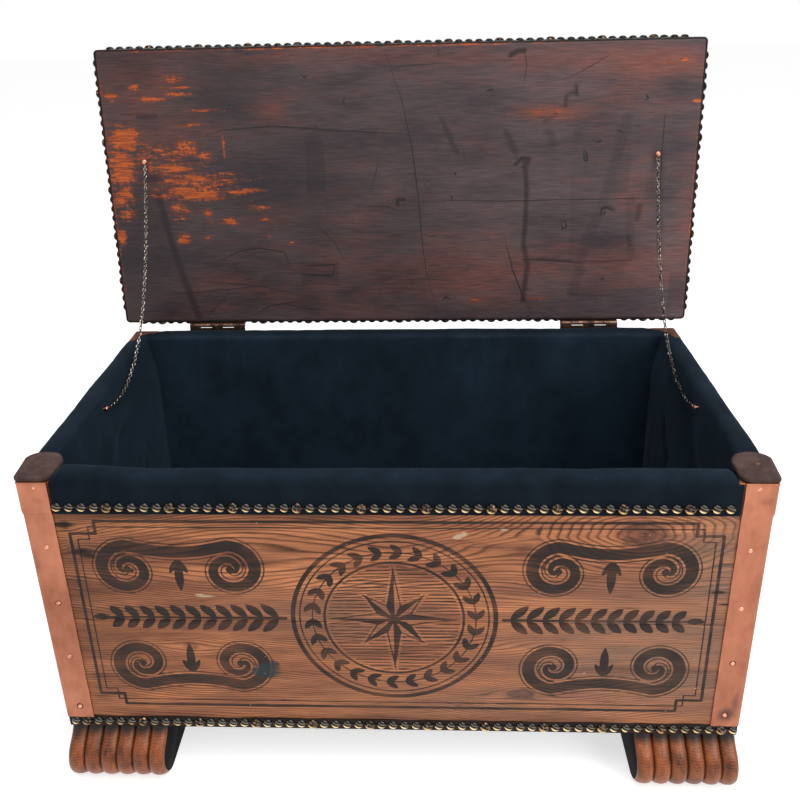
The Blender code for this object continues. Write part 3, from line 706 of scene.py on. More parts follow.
def smooth(value: float) -> float:
    """A soft step from 0 to 1 for a value from 0 to 1."""
    value = max(0.0, min(1.0, value))
    return value * value * (3 - 2 * value)


def ripple(x: float, y: float, z: float) -> float:
    """Smooth noise from about -1 to 1, with grains one unit wide."""
    return noise.noise(Vector((x, y, z)))


def spread(low: float, high: float, step: float) -> list[float]:
    """Even places from low to high, no further apart than a step."""
    count = max(1, math.ceil((high - low) / step))
    return [low + (high - low) * i / count for i in range(count + 1)]


def arc(
    radius: float, start_deg: float, sweep_deg: float, steps: int, x: float = 0.0, y: float = 0.0
) -> list[Point2]:
    """Places along an arc about (x, y), both ends with them."""
    turns = [math.radians(start_deg + sweep_deg * i / steps) for i in range(steps + 1)]
    return [(x + radius * math.cos(turn), y + radius * math.sin(turn)) for turn in turns]


def between(a: Point2, b: Point2, share: float) -> Point2:
    """The place at a share of the way from a to b."""
    return (a[0] + (b[0] - a[0]) * share, a[1] + (b[1] - a[1]) * share)


def in_mm(*profile: Point2) -> list[Point2]:
    """Turns places in millimetres into metres."""
    return [(a * MM, b * MM) for a, b in profile]


def heading(path: Sequence[Point2], i: int) -> Vector:
    """The direction of a flat path at one of its places."""
    ahead, behind = path[min(i + 1, len(path) - 1)], path[max(i - 1, 0)]
    return Vector((ahead[0] - behind[0], ahead[1] - behind[1])).normalized()


def long_side(low: Vector, high: Vector, wall: Wall) -> tuple[float, float]:
    """The lower and upper end of a box along a wall, from the crate's middle."""
    return (low.x, high.x) if wall.long else (low.y - CRATE_Y, high.y - CRATE_Y)


class Form:
    """A mesh under construction, in metres."""

    def __init__(self) -> None:
        """Starts with nothing."""
        self.points: list[Vector] = []
        self.faces: list[tuple[int, ...]] = []

    def loft(self, rings: Sequence[Ring], place: Matrix | None = None, capped: bool = True) -> "Form":
        """Adds a skin through closed rings of equally many points.

        Args:
            rings: the rings in order.
            place: where to put the result.
            capped: whether the first and last ring are closed by faces.

        Returns:
            This form.
        """
        start, count = len(self.points), len(rings[0])
        for ring in rings:
            self.points.extend(place @ Vector(p) if place else Vector(p) for p in ring)
        last = start + (len(rings) - 1) * count
        for near in range(start, last, count):
            for i in range(count):
                j = (i + 1) % count
                self.faces.append((near + i, near + j, near + count + j, near + count + i))
        if capped:
            self.faces += [tuple(range(start, start + count)), tuple(range(last, last + count))]
        return self

    def lathe(self, profile: Sequence[Point2], sides: int, place: Matrix) -> "Form":
        """Adds a solid turned about +Z, from (radius, height) places up its side.

        Args:
            profile: the places from the foot to the top.
            sides: points round it.
            place: where to put it.

        Returns:
            This form.
        """
        turns = [2 * math.pi * i / sides for i in range(sides)]
        rings = [[Vector((r * math.cos(t), r * math.sin(t), h)) for t in turns] for r, h in profile]
        return self.loft(rings, place)

    def plate(self, outline: Sequence[Point2], low: float, high: float, place: Matrix) -> "Form":
        """Adds a flat outline in XY, thick from low to high."""
        return self.loft([[Vector((x, y, z)) for x, y in outline] for z in (low, high)], place)

    def hoop(self, path: Sequence[Vector], radius: float, sides: int, place: Matrix) -> "Form":
        """Adds a round bar along a closed path.

        Args:
            path: its centre line.
            radius: the bar's radius.
            sides: points round the bar.
            place: where to put it.

        Returns:
            This form.
        """
        count = len(path)
        turns = [2 * math.pi * k / sides for k in range(sides)]
        rings = []
        side = None
        for i, point in enumerate(path):
            run = (path[(i + 1) % count] - path[i - 1]).normalized()
            side = run.orthogonal() if side is None else side
            side = (side - run * side.dot(run)).normalized()
            other = run.cross(side)
            rings.append([point + radius * (side * math.cos(t) + other * math.sin(t)) for t in turns])
        start = len(self.points)
        self.loft(rings, place, capped=False)
        last = start + (count - 1) * sides
        for k in range(sides):
            j = (k + 1) % sides
            self.faces.append((last + k, last + j, start + j, start + k))
        return self

    def piece(
        self,
        name: str,
        body: Body | None,
        finish: Finish,
        slot: str,
        replaces: Sequence[str] = (),
        crease_deg: float = 40.0,
    ) -> bpy.types.Object:
        """Turns the form into a dressed piece that rides on a body.

        Args:
            name: the piece's name.
            body: what it rides on, or None to leave it unattached.
            finish: what it is made of.
            slot: the record's material slot; not used.
            replaces: the solids that it stands for.
            crease_deg: edges sharper than this stay sharp.

        Returns:
            The new object.
        """
        mesh = bpy.data.meshes.new(name)
        mesh.from_pydata(self.points, [], self.faces)
        face_outward(mesh)
        mesh.shade_smooth()
        mesh.set_sharp_from_angle(angle=math.radians(crease_deg))
        mesh.materials.append(dressed(finish))
        item = shown(name, mesh)
        if body is not None:
            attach(item, body.value)
        if replaces:
            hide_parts(*replaces)
        log.info("%s: %d faces", name, len(mesh.polygons))
        return item


class Chart:
    """Values over a flat face, on a grid in millimetres along it and up it."""

    far_off = 9.0
    margin = 8.0

    def __init__(self, along: Sequence[float], up: Sequence[float]) -> None:
        """Spans the grid over two lists of rising places in metres."""
        self.sides = (np.array(along) / MM, np.array(up) / MM)
        self.along, self.up = np.meshgrid(*self.sides, indexing="ij")

    def grains(self, size_along: float, size_up: float, seed: float) -> np.ndarray:
        """Smooth noise from about -1 to 1, with grains of that size."""
        places = zip((self.along / size_along).flat, (self.up / size_up).flat)
        return np.array([ripple(a, u, seed) for a, u in places]).reshape(self.along.shape)

    def patches(self, rows: Sequence[tuple[float, ...]]) -> np.ndarray:
        """The strongest of some soft patches at each point.

        Args:
            rows: along, up, half-sizes along and up, and strength of each patch.

        Returns:
            The strength over the grid.
        """
        best = np.zeros(self.along.shape)
        for along, up, half_along, half_up, strength in rows:
            far = ((self.along - along) / half_along) ** 2 + ((self.up - up) / half_up) ** 2
            best = np.maximum(best, strength * np.exp(-0.5 * far))
        return best

    def window(self, way: Iterable[Point2], margin: float) -> tuple[slice, ...]:
        """The part of the grid within a margin of a way.

        Args:
            way: its places.
            margin: how far the part reaches past them.

        Returns:
            A slice for each side of the grid.
        """
        ends = zip(self.sides, zip(*way))
        spans = [np.searchsorted(side, (min(at) - margin, max(at) + margin)) for side, at in ends]
        return tuple(slice(low, high) for low, high in spans)

    def brush(self, way: Sequence[Point2], halves: Sequence[float]) -> tuple[tuple[slice, ...], np.ndarray]:
        """Distances from the edge of a brushed line, negative inside it.

        Args:
            way: its places.
            halves: half its width at each place.

        Returns:
            The part of the grid near it, and the distances there.
        """
        window = self.window(way, max(halves) + self.margin)
        x, y = self.along[window], self.up[window]
        best = np.full(x.shape, self.far_off)
        for (ax, ay), (bx, by), start, end in zip(way, way[1:], halves, halves[1:]):
            rx, ry = bx - ax, by - ay
            t = np.clip(((x - ax) * rx + (y - ay) * ry) / (rx * rx + ry * ry + 1e-9), 0, 1)
            best = np.minimum(best, np.hypot(x - ax - rx * t, y - ay - ry * t) - start - (end - start) * t)
        return window, best

    def keep_all(self, item: bpy.types.Object, marks: dict[str, np.ndarray], others: int = 2) -> None:
        """Stores values on a piece whose rings start with the grid's columns.

        Args:
            item: the piece.
            marks: for each name, a value at each point of the grid.
            others: how many further points each ring has.
        """
        for name, values in marks.items():
            keep(item, name, np.pad(values, ((0, 0), (0, others))).astype(np.float32).ravel())


# The stencilled ornament
class Ornament:
    """A generic stencil on the crate's front: a star in a wreath between scrolls.

    Its sizes are in millimetres from its own centre.
    """

    centre_up = 238.0
    wreath = 90.5
    eyes = (177, 290)
    eye_up = 66

    def __init__(self, chart: Chart) -> None:
        """Starts with a bare board, and draws on its grid from the ornament's centre.

        Args:
            chart: the board's grid.
        """
        self.chart = chart
        self.up = chart.up - self.centre_up
        self.radius = np.hypot(chart.along, self.up)
        self.field = np.full(chart.along.shape, chart.far_off)

    def put(self, distance: np.ndarray, window: tuple[slice, ...] = np.s_[:, :]) -> None:
        """Adds a shape, given by distances from its edge."""
        self.field[window] = np.minimum(self.field[window], distance)

    def placed(self, way: Sequence[Point2]) -> list[Point2]:
        """Moves places from the ornament's centre to the board."""
        return [(x, self.centre_up + z) for x, z in way]

    def stroke(self, way: Sequence[Point2], wide: Callable[[float], float], shadowed: bool = False) -> None:
        """Adds a brushed line.

        Args:
            way: its places.
            wide: its width for a share of the way from 0 to 1.
            shadowed: whether a fine line runs round it.
        """
        halves = [wide(k / (len(way) - 1)) / 2 for k in range(len(way))]
        window, far = self.chart.brush(self.placed(way), halves)
        if shadowed:
            far = np.minimum(far, np.abs(far - 3.2) - 0.8)
        self.put(far, window)

    def leaf(self, root: Point2, angle: float, length: float, half: float) -> None:
        """Adds a pointed leaf, as the overlap of two discs.

        Args:
            root: where it starts.
            angle: its direction in radians.
            length: how long it is.
            half: half its width.
        """
        tip = (root[0] + length * math.cos(angle), root[1] + length * math.sin(angle))
        radius = (length * length / 4 + half * half) / (2 * half)
        middle = between(root, tip, 0.5)
        aside = (-math.sin(angle) * (radius - half), math.cos(angle) * (radius - half))
        window = self.chart.window(self.placed([root, tip]), half + 4)
        x, y = self.chart.along[window] - middle[0], self.up[window] - middle[1]
        ends = [np.hypot(x - s * aside[0], y - s * aside[1]) for s in (-1, 1)]
        self.put(np.maximum(*ends) - radius, window)

    def facet(self, corners: Sequence[Point2], outlined: bool = False) -> None:
        """Adds a polygon with its corners anticlockwise, filled or in outline.

        Args:
            corners: its corners.
            outlined: whether only its outline shows.
        """
        window = self.chart.window(self.placed(corners), 5)
        x, y = self.chart.along[window], self.up[window]
        far = np.full(x.shape, -99.0)
        for (ax, ay), (bx, by) in zip(corners, corners[1:] + corners[:1]):
            size = math.hypot(bx - ax, by - ay)
            far = np.maximum(far, ((x - ax) * (by - ay) - (y - ay) * (bx - ax)) / size)
        self.put(np.abs(far) - 0.8 if outlined else far, window)

    def star(self, long: float = 69, short: float = 46, heel: float = 20) -> None:
        """A compass star: each point half filled and half in outline.

        Args:
            long: how far its four long points reach.
            short: how far the other four reach.
            heel: how far from its centre two points meet.
        """
        for i in range(8):
            turn = 45 * i + 90
            tip = arc(short if i % 2 else long, turn, 0, 1)[0]
            for hand in (-1, 1):
                aside = arc(heel, turn + hand * 22.5, 0, 1)[0]
                corners = [(0, 0), tip, aside] if hand > 0 else [(0, 0), aside, tip]
                self.facet(corners, hand < 0)

    def medallion(self, leaves: int = 26) -> None:
        """Rings, a wreath and the star over a ground of fine ruled lines.

        Args:
            leaves: how many pairs of leaves the wreath has.
        """
        self.star()
        ruled = np.abs(self.up % 4.6 - 2.3) - 0.75
        self.put(np.maximum(np.maximum(ruled, self.radius - 73), 2.6 - self.field))
        for ring, half in ((112, 2.6), (104.5, 0.9), (77, 1.4), (self.wreath, 0.8)):
            self.put(np.abs(self.radius - ring) - half)
        for i, root in enumerate(arc(self.wreath, 0, 360, leaves)[:-1]):
            for lean in (0.62, -0.55):
                self.leaf(root, 2 * math.pi * i / leaves + math.pi / 2 + lean, 17, 3.7)

    def scroll(self, hand: int, flip: int) -> None:
        """A double volute with a drop of leaves, on one side, above or below.

        Args:
            hand: -1 for the left, 1 for the right.
            flip: -1 for below, 1 for above.
        """
        turns, inner, outer = 1.35, 5.0, 32.0
        left, right = [], []
        for t in spread(0, 1, 1 / 60):
            curl = arc(inner + (outer - inner) * (1 - t) ** 0.9, 90 + 360 * turns * t, 0, 1)[0]
            left.append((self.eyes[0] + curl[0], self.eye_up + curl[1]))
            right.append((self.eyes[1] - curl[0], self.eye_up + curl[1]))
        bridge = [(self.eyes[0] + 113 * t, 98 - 9 * math.sin(math.pi * t)) for t in spread(0.05, 0.95, 0.05)]
        way = [(hand * x, flip * z) for x, z in left[::-1] + bridge + right]
        self.stroke(way, lambda t: 3.0 + 11.5 * math.sin(math.pi * t) ** 0.7, True)
        for x in self.eyes:
            self.stroke([(hand * x, flip * self.eye_up), (hand * x + 0.1, flip * self.eye_up)], lambda t: 8.5)
        for angle, length, half in ((-90, 44, 5.0), (-62, 22, 3.2), (-118, 22, 3.2)):
            lean = math.radians(angle)
            turned = math.atan2(flip * math.sin(lean), hand * math.cos(lean))
            self.leaf((hand * 233.5, flip * 80), turned, length, half)

    def spray(self, hand: int) -> None:
        """A stem of paired leaves from the medallion to the end of the board.

        Args:
            hand: -1 for the left, 1 for the right.
        """
        self.stroke([(hand * 120, 0), (hand * 322, 0)], lambda t: 3.6 - 1.6 * t)
        for k in range(11):
            for wing in (-1, 1):
                lean = math.radians(wing * 44)
                angle = math.atan2(math.sin(lean), hand * math.cos(lean))
                self.leaf((hand * (128 + 17.5 * k), wing * 1.0), angle, 27 - 0.7 * k, 5.2)
        self.leaf((hand * 318, 0), 0 if hand > 0 else math.pi, 20, 5.0)

    def border(self, hand: int, flip: int) -> None:
        """A double line with a notched corner and a diamond in it.

        Args:
            hand: -1 for the left, 1 for the right.
            flip: -1 for below, 1 for above.
        """
        for at, half in ((129, 3.6), (121.5, 1.7)):
            end = 447 - at
            way = [(0, at), (end, at), (end, at - 16), (at + 217, at - 16), (at + 217, 0)]
            self.stroke([(hand * x, flip * z) for x, z in way], lambda t, half=half: half)
        x, z = hand * 338, flip * 121
        self.facet([(x, z - 8), (x - 8, z), (x, z + 8), (x + 8, z)])

    def draw(self) -> np.ndarray:
        """How far each point lies within the ink, 0.5 being its edge.

        Returns:
            The ink over the board's grid, from 0 to 1.
        """
        self.medallion()
        for hand in (-1, 1):
            self.spray(hand)
            for flip in (-1, 1):
                self.scroll(hand, flip)
                self.border(hand, flip)
        return np.clip(0.5 - self.field / 2.6, 0.0, 1.0)


# Crate
@dataclass(frozen=True)
class Knot:
    """A knot: its place, its radius and how far it bends the grain, in millimetres."""

    along: float
    up: float
    radius: float
    reach: float
    arched: bool = False
    colour: float = 0.85


KNOTS = {
    Wall.FRONT: (
        Knot(262, 353, 20, 120, True, 0.8),
        Knot(-166, 322, 15, 135, colour=0.55),
        Knot(-336, 327, 6, 26),
        Knot(-352, 362, 6, 26),
        Knot(144, 133, 9, 55),
        Knot(-232, 196, 7, 40, colour=0.5),
    ),
    Wall.BACK: (Knot(190, 300, 12, 70), Knot(-120, 160, 9, 50), Knot(-290, 330, 16, 90, True)),
    Wall.LEFT: (Knot(40, 190, 10, 50),),
    Wall.RIGHT: (Knot(-60, 300, 12, 60), Knot(80, 150, 7, 40)),
}

# Patches on the front: along, up, half-sizes along and up in millimetres, and strength
TORN = (
    (-336, 327, 8, 2.2, 1.0), (-330, 322, 5, 1.6, 0.9), (-352, 362, 7, 1.8, 1.0), (-312, 236, 7, 1.3, 1.0),
    (348, 278, 6, 1.4, 0.9), (-285, 302, 1.3, 1.3, 1.0), (356, 262, 6, 1.0, 0.7),
)
# Smoky marks on the front, a darker left end and foot, and painted shade along the top under the velvet's hem
SMOKED_AND_SHADED = (
    (-362, 240, 80, 130, 0.36), (-300, 350, 130, 30, 0.22), (-200, 110, 160, 22, 0.2),
    (-325, 374, 90, 9, 0.6), (-352, 287, 22, 9, 0.6), (-354, 252, 14, 6, 0.45), (-352, 192, 16, 7, 0.5),
    (-338, 152, 20, 5, 0.5), (-346, 120, 12, 4, 0.5), (-90, 372, 60, 6, 0.4), (60, 330, 70, 10, 0.3),
    (306, 168, 70, 5, 0.45), (-40, 200, 60, 12, 0.25), (200, 300, 50, 12, 0.3), (0, 93, 380, 4, 0.35),
)
PAINTED = (
    (69, 348, 4, 2, 1.0), (73, 350.5, 4, 2, 1.0), (77, 353, 3, 1.6, 1.0), (118, 358, 4, 1.2, 0.8),
    (-207, 268, 9, 1.4, 0.8), (-214, 270, 4, 1, 0.9),
)
SILVERED = (
    (300, 190, 120, 70, 0.55), (345, 300, 40, 90, 0.5), (120, 120, 130, 30, 0.3), (-60, 240, 90, 30, 0.25),
)
TEAL = (
    (-148, 162, 13, 9, 1.0), (-140, 170, 6, 6, 0.9),
)


@dataclass(frozen=True)
class Crate:
    """The crate's eight boards and its base."""

    front_cell: float = 1.3 * MM
    other_cell: float = 5.0 * MM
    edge_wear: float = 1.1 * MM
    grain_relief: float = 0.2 * MM
    tear_depth: float = 2.2 * MM
    back_inset: float = 0.5 * MM
    ring_mm: float = 3.5
    lower_ring_share: float = 0.86

    def growth(self, chart: Chart, wall: Wall, row: str) -> np.ndarray:
        """Counts growth rings over a board, bent round its knots.

        Args:
            chart: the board's grid.
            wall: the wall it is in.
            row: lower or upper.

        Returns:
            The count of rings at each point.
        """
        seed = wall.value * 0.71 + (3.3 if row == "upper" else 0.0)
        height = chart.up + 22 * chart.grains(300, 110, seed) + 5 * chart.grains(110, 30, seed + 1)
        for knot in KNOTS[wall]:
            dx, dz = chart.along - knot.along, chart.up - knot.up
            pull = np.exp(-((dx / knot.reach) ** 2) - (dz / (0.45 * knot.reach)) ** 2)
            if knot.arched:
                height += np.clip(2.2 * pull, 0, 1) * (knot.up - 0.75 * np.hypot(0.46 * dx, dz) - height)
            else:
                height -= 0.9 * pull * (height - knot.up)
        ring = self.ring_mm * (self.lower_ring_share if row == "lower" else 1.0)
        return 40 + height / ring + 0.9 * chart.grains(320, 13, seed + 2)

    def hearts(self, chart: Chart, wall: Wall) -> np.ndarray:
        """The dark, ragged hearts of a wall's knots.

        Args:
            chart: the board's grid.
            wall: the wall it is in.

        Returns:
            Their strength at each point.
        """
        heart, rag = np.zeros(chart.along.shape), chart.grains(9, 6, 5)
        for knot in KNOTS[wall]:
            near = ((chart.along - knot.along) / (1.3 * knot.radius)) ** 2
            near += ((chart.up - knot.up) / (0.9 * knot.radius)) ** 2
            heart = np.maximum(heart, knot.colour * np.clip(1.5 - near + 0.7 * rag, 0, 1))
        return heart

    def board(self, wall: Wall, row: str) -> None:
        """One weathered board, cut from its own solid's size.

        Args:
            wall: the wall it is in.
            row: lower or upper.
        """
        node = f"{wall.word}_board_{row}"
        low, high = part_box(node)
        thickness = (high.y - low.y) if wall.long else (high.x - low.x)
        start, end = long_side(low, high, wall)
        half = (end - start) / 2
        cell = self.front_cell if wall is Wall.FRONT else self.other_cell
        stations, heights = spread(-half, half, cell), spread(low.z, high.z, cell)
        chart = Chart(stations, heights)
        torn = chart.patches(TORN if wall is Wall.FRONT else ())
        smoked_and_shaded = chart.patches(SMOKED_AND_SHADED if wall is Wall.FRONT else ())
        depth = self.grain_relief * (1 + chart.grains(60, 3.5, wall.value)) + self.tear_depth * torn**2
        edge = np.minimum(chart.up - low.z / MM, high.z / MM - chart.up) * MM
        worn = self.edge_wear * (1 + 0.8 * chart.grains(35, 400, wall.value + 7))
        depth += np.clip(worn - edge / 1.6, 0, None)
        back = [(thickness, high.z - self.back_inset), (thickness, low.z + self.back_inset)]
        rings = [
            [Vector((along, deep, up)) for deep, up in [*zip(column, heights), *back]]
            for along, column in zip(stations, depth)
        ]
        form = Form().loft(rings, wall.place)
        item = form.piece(f"{node}_sawn", Body.CHEST, CRATE_PINE, "pine_crate", (node,))
        marks = {"growth": self.growth(chart, wall, row), "heart": self.hearts(chart, wall)}
        # Painted shade under the hem comes with the smoky marks, and the tears are darkened too.
        marks["smoke_and_shade"] = smoked_and_shaded + 1.3 * torn
        if wall is Wall.FRONT:
            marks["ink"] = Ornament(chart).draw()
            for name, rows in (("paint", PAINTED), ("teal", TEAL), ("silver", SILVERED)):
                marks[name] = chart.patches(rows)
        chart.keep_all(item, marks)

    def build(self) -> None:
        """All boards, and the base stained dark."""
        for wall in Wall:
            self.board(wall, "lower")
            self.board(wall, "upper")
        frame["nodes"]["base_board"].material_slots[0].material = dressed(BASE_WOOD)


@dataclass(frozen=True)
class Foot:
    """One ribbed foot: a roll in front that draws in to a neck under the base."""

    row: str
    hand: str
    width: float = 116 * MM
    depth: float = 110 * MM
    bulge: float = 2.5 * MM
    ribs: int = 6
    steps: int = 14
    rib_depth: float = 6 * MM
    roll_radius: float = 29.5 * MM
    roll_setback: float = 9 * MM
    roll_deg: float = 142
    roll_steps: int = 18
    neck_setback: float = 10 * MM
    neck_steps: int = 7
    rear_edge: float = 0.8 * MM
    wobble: float = 0.25 * MM
    bow_mm: float = 2.5

    @property
    def stations(self) -> int:
        """How many steps there are across all ribs."""
        return self.ribs * self.steps

    def across(self, station: int) -> float:
        """The place on a rib, from -1 to 1, for a step across all ribs."""
        return 2 * (station % self.steps) / self.steps - 1

    def profile(self, groove: float) -> list[Point2]:
        """The side outline as (forward, up), drawn in by the groove's depth.

        Args:
            groove: how deep the groove is there.

        Returns:
            Its places from the floor to the neck's top.
        """
        top = CRATE_LOW.z - GAP
        points = []
        for i in range(self.roll_steps + 1):
            share = i / self.roll_steps
            radius = self.roll_radius - groove * min(1.0, 2.4 * share)
            points += arc(radius, -90 + self.roll_deg * share, 0, 1, -self.roll_setback, self.roll_radius)[:1]
        leave = points[-1]
        neck = (-self.neck_setback - groove * 0.55, top)
        bend = (leave[0] - (top - leave[1]) * 0.75, leave[1] + (top - leave[1]) * 0.45)
        for i in range(1, self.neck_steps + 1):
            share = i / self.neck_steps
            points.append(between(between(leave, bend, share), between(bend, neck, share), share))
        return points

    def build(self) -> None:
        """The carved block, dark on its flat sides."""
        facing = WAY[self.row]
        back = HALF_DEPTH - self.depth
        rear = [(back, CRATE_LOW.z - GAP), (back, self.rear_edge), (back + self.rear_edge, 0)]
        rings = []
        for i in range(self.stations + 1):
            groove = self.rib_depth * (1 - max(0.0, 1 - self.across(i) ** 2) ** 0.5)
            x = WAY[self.hand] * (HALF_WIDTH + self.bulge - self.width * i / self.stations)
            wobble = self.wobble * ripple(x / (30 * MM), facing, 0)
            outline = [(HALF_DEPTH + out + wobble, up) for out, up in self.profile(groove)] + rear
            rings.append([Vector((x, CRATE_Y + facing * out, up)) for out, up in outline])
        node = f"foot_{self.row}_{self.hand}"
        item = Form().loft(rings).piece(f"{node}_carved", Body.CHEST, FOOT_OAK, "foot_oak", (node,), 62)
        way = self.profile(0.0)
        walked = [sum(map(math.dist, way[:k], way[1 : k + 1])) / MM for k in range(len(way))]
        runs = []
        for i in range(self.stations + 1):
            runs += [w - self.bow_mm * self.across(i) ** 2 for w in walked] + [0.0] * len(rear)
        keep(item, "run", runs)
        item.data.materials.append(dressed(FOOT_DARK))
        for face in item.data.polygons:
            if abs(face.normal.x) > 0.98 and face.area > self.width * 0.01:
                face.material_index = 1


# Copper corners and caps
COPPER_SMUTS = {
    ("front", "right"): ((376, 106, 8, 8, 0.8), (384, 122, 4, 14, 0.5), (382, 395, 7, 6, 0.4)),
    ("front", "left"): ((388, 300, 3, 40, 0.35), (372, 395, 9, 5, 0.3)),
    ("back", "left"): ((380, 150, 8, 20, 0.6),),
    ("back", "right"): ((384, 320, 6, 22, 0.6),),
}


def at_corner(row: str, hand: str) -> Matrix:
    """From a crate corner's own frame, with its legs along +X and +Y, to the part's.

    Args:
        row: front or back.
        hand: left or right.

    Returns:
        The matrix.
    """
    side, facing = WAY[hand], WAY[row]
    move = Matrix.Translation((side * HALF_WIDTH, CRATE_Y + facing * HALF_DEPTH, 0))
    return move @ Matrix.Diagonal((-side, -facing, 1, 1))


@dataclass(frozen=True)
class CopperCorner:
    """A copper angle folded over the crate's corner, with its domed screws."""

    row: str
    hand: str
    width: float = 33 * MM
    lip: float = 11 * MM
    sheet: float = 1 * MM
    fold: float = 2.2 * MM
    leg_steps: int = 14
    fold_steps: int = 6
    screws: int = 5
    screw_low: float = 16.7 * MM
    screw_high: float = 5.5 * MM
    screw_offset: float = 17.5 * MM
    top_round: float = 0.7 * MM
    top_reach: float = 1.4 * MM
    over_skirt: float = 1.3 * MM
    skirt_reach: float = 7 * MM
    dent: float = 0.55 * MM
    dent_reach: float = 5.5 * MM
    wave: float = 0.6 * MM
    edge_wave: float = 0.25 * MM
    dome: tuple = ((2.496, 0), (2.6, 0.425), (2.236, 1.054), (1.43, 1.53), (0.468, 1.7))
    # A dark ring of painted shade under each screw head, in its dent.
    rim: tuple = ((4.3, -0.2), (4.2, 0.05), (3.2, 0.2), (0.5, 0.2))

    def screw_heights(self) -> list[float]:
        """Heights of the screws in one leg."""
        low, high = BOARDS_FOOT + self.screw_low, BOARDS_TOP - self.screw_high
        return [low + (high - low) * i / (self.screws - 1) for i in range(self.screws)]

    def section(self, up: float, seed: float) -> list[Vector]:
        """The angle's cross-section at one height, outside first.

        Args:
            up: the height.
            seed: sets this corner's own unevenness.

        Returns:
            The ring of points, outer face then inner face.
        """
        outer = GAP + self.sheet
        top_round = self.top_round * (1 - smooth((LIP_TOP - up) / self.top_reach))
        step_out = self.over_skirt * smooth((up - HEM + 4 * MM) / self.skirt_reach)

        def face(along: float, leg: int) -> Vector:
            """A point on one leg's outside, pushed in round each screw.

            Args:
                along: the place along the leg.
                leg: 0 or 1.

            Returns:
                The point.
            """
            far = [math.hypot(along - self.screw_offset, up - height) for height in self.screw_heights()]
            dent = self.dent * sum(math.exp(-((gap / self.dent_reach) ** 2)) for gap in far)
            wave = self.wave * ripple(along / (40 * MM), up / (46 * MM) + seed, leg)
            push = outer + step_out - top_round - dent + wave
            if along > self.width - 2 * MM:
                along += self.edge_wave * ripple(up / (14 * MM), seed, leg + 4)
            return Vector((-push, along, up) if leg else (along, -push, up))

        legs = spread(self.fold, self.width - outer, (self.width - outer - self.fold) / self.leg_steps)
        reach = self.fold + outer + step_out - top_round
        bend = arc(reach, -90, -90, self.fold_steps, self.fold, self.fold)[1:-1]
        inside = [(-GAP, legs[-1]), (-GAP, 0), (0, -GAP), (legs[-1], -GAP)]
        ring = [face(along, 0) for along in reversed(legs)]
        ring += [Vector((x, y, up)) for x, y in bend]
        ring += [face(along, 1) for along in legs]
        return ring + [Vector((x, y, up)) for x, y in inside]

    def lip_plate(self, form: Form, place: Matrix) -> None:
        """The L of copper folded in over the boards' top, its outer edge rounded.

        Args:
            form: what it is added to.
            place: where to put it.
        """
        for inset, low, high in ((0.0, 1.0, 0.55), (0.45, 0.55, 0.0)):
            rim = GAP + self.sheet + (0.5 - inset) * MM
            width = self.lip - GAP - self.sheet - inset * MM
            tip = self.width - GAP - self.sheet - inset * MM
            outline = [(-rim, -rim), (tip, -rim), (tip, width), (width, width), (width, tip), (-rim, tip)]
            form.plate(outline, LIP_TOP - low * MM, LIP_TOP - high * MM, place)

    def smut_and_hem_shade(self, point: Vector) -> float:
        """How stained the copper is at a point, in its own patches, with a painted shade line along the hem.

        Args:
            point: the point in the corner's own frame.

        Returns:
            The strength of the staining and the painted shade.
        """
        x, up = abs(point.x) / MM, point.z / MM
        # Painted shade: a dark line along the hem, where the copper steps out over the velvet.
        best = 0.3 * math.exp(-(((up - HEM / MM) / 2.5) ** 2))
        for along, height, wide, tall, strength in COPPER_SMUTS[self.row, self.hand]:
            far = ((x - along) / wide) ** 2 + ((up - height) / tall) ** 2
            best = max(best, strength * math.exp(-0.5 * far))
        return best

    def build(self) -> None:
        """The angle with its lip, and the screws as a piece of their own."""
        node, place = f"copper_corner_{self.row}_{self.hand}", at_corner(self.row, self.hand)
        seed = sum(ord(letter) for letter in node) * 0.37
        heights = spread(BOARDS_FOOT, LIP_TOP - self.top_reach, 3 * MM)
        heights += [LIP_TOP - below * MM for below in (0.9, 0.4, 0.1)]
        form = Form().loft([self.section(up, seed) for up in heights], place)
        self.lip_plate(form, place)
        item = form.piece(f"{node}_folded", Body.CHEST, COPPER, "copper", (node,), 50)
        keep(item, "stain", [self.smut_and_hem_shade(point) for point in form.points])
        # The dark rings under the screw heads are painted shade.
        heads, shade_rings = Form(), Form()
        out = GAP + self.sheet - 0.5 * MM
        for up in self.screw_heights():
            front = Matrix.Translation((self.screw_offset, -out, up)) @ UPRIGHT
            end = Matrix.Translation((-out, self.screw_offset, up)) @ Matrix.Rotation(-math.pi / 2, 4, "Y")
            for stand in (front, end):
                heads.lathe(in_mm(*self.dome), 16, place @ stand)
                shade_rings.lathe(in_mm(*self.rim), 18, place @ stand)
        heads.piece(f"{node}_screws", Body.CHEST, SCREW_COPPER, "copper_screw")
        shade_rings.piece(f"{node}_screw_rims", Body.CHEST, SCREW_SHADE_RING, "copper")


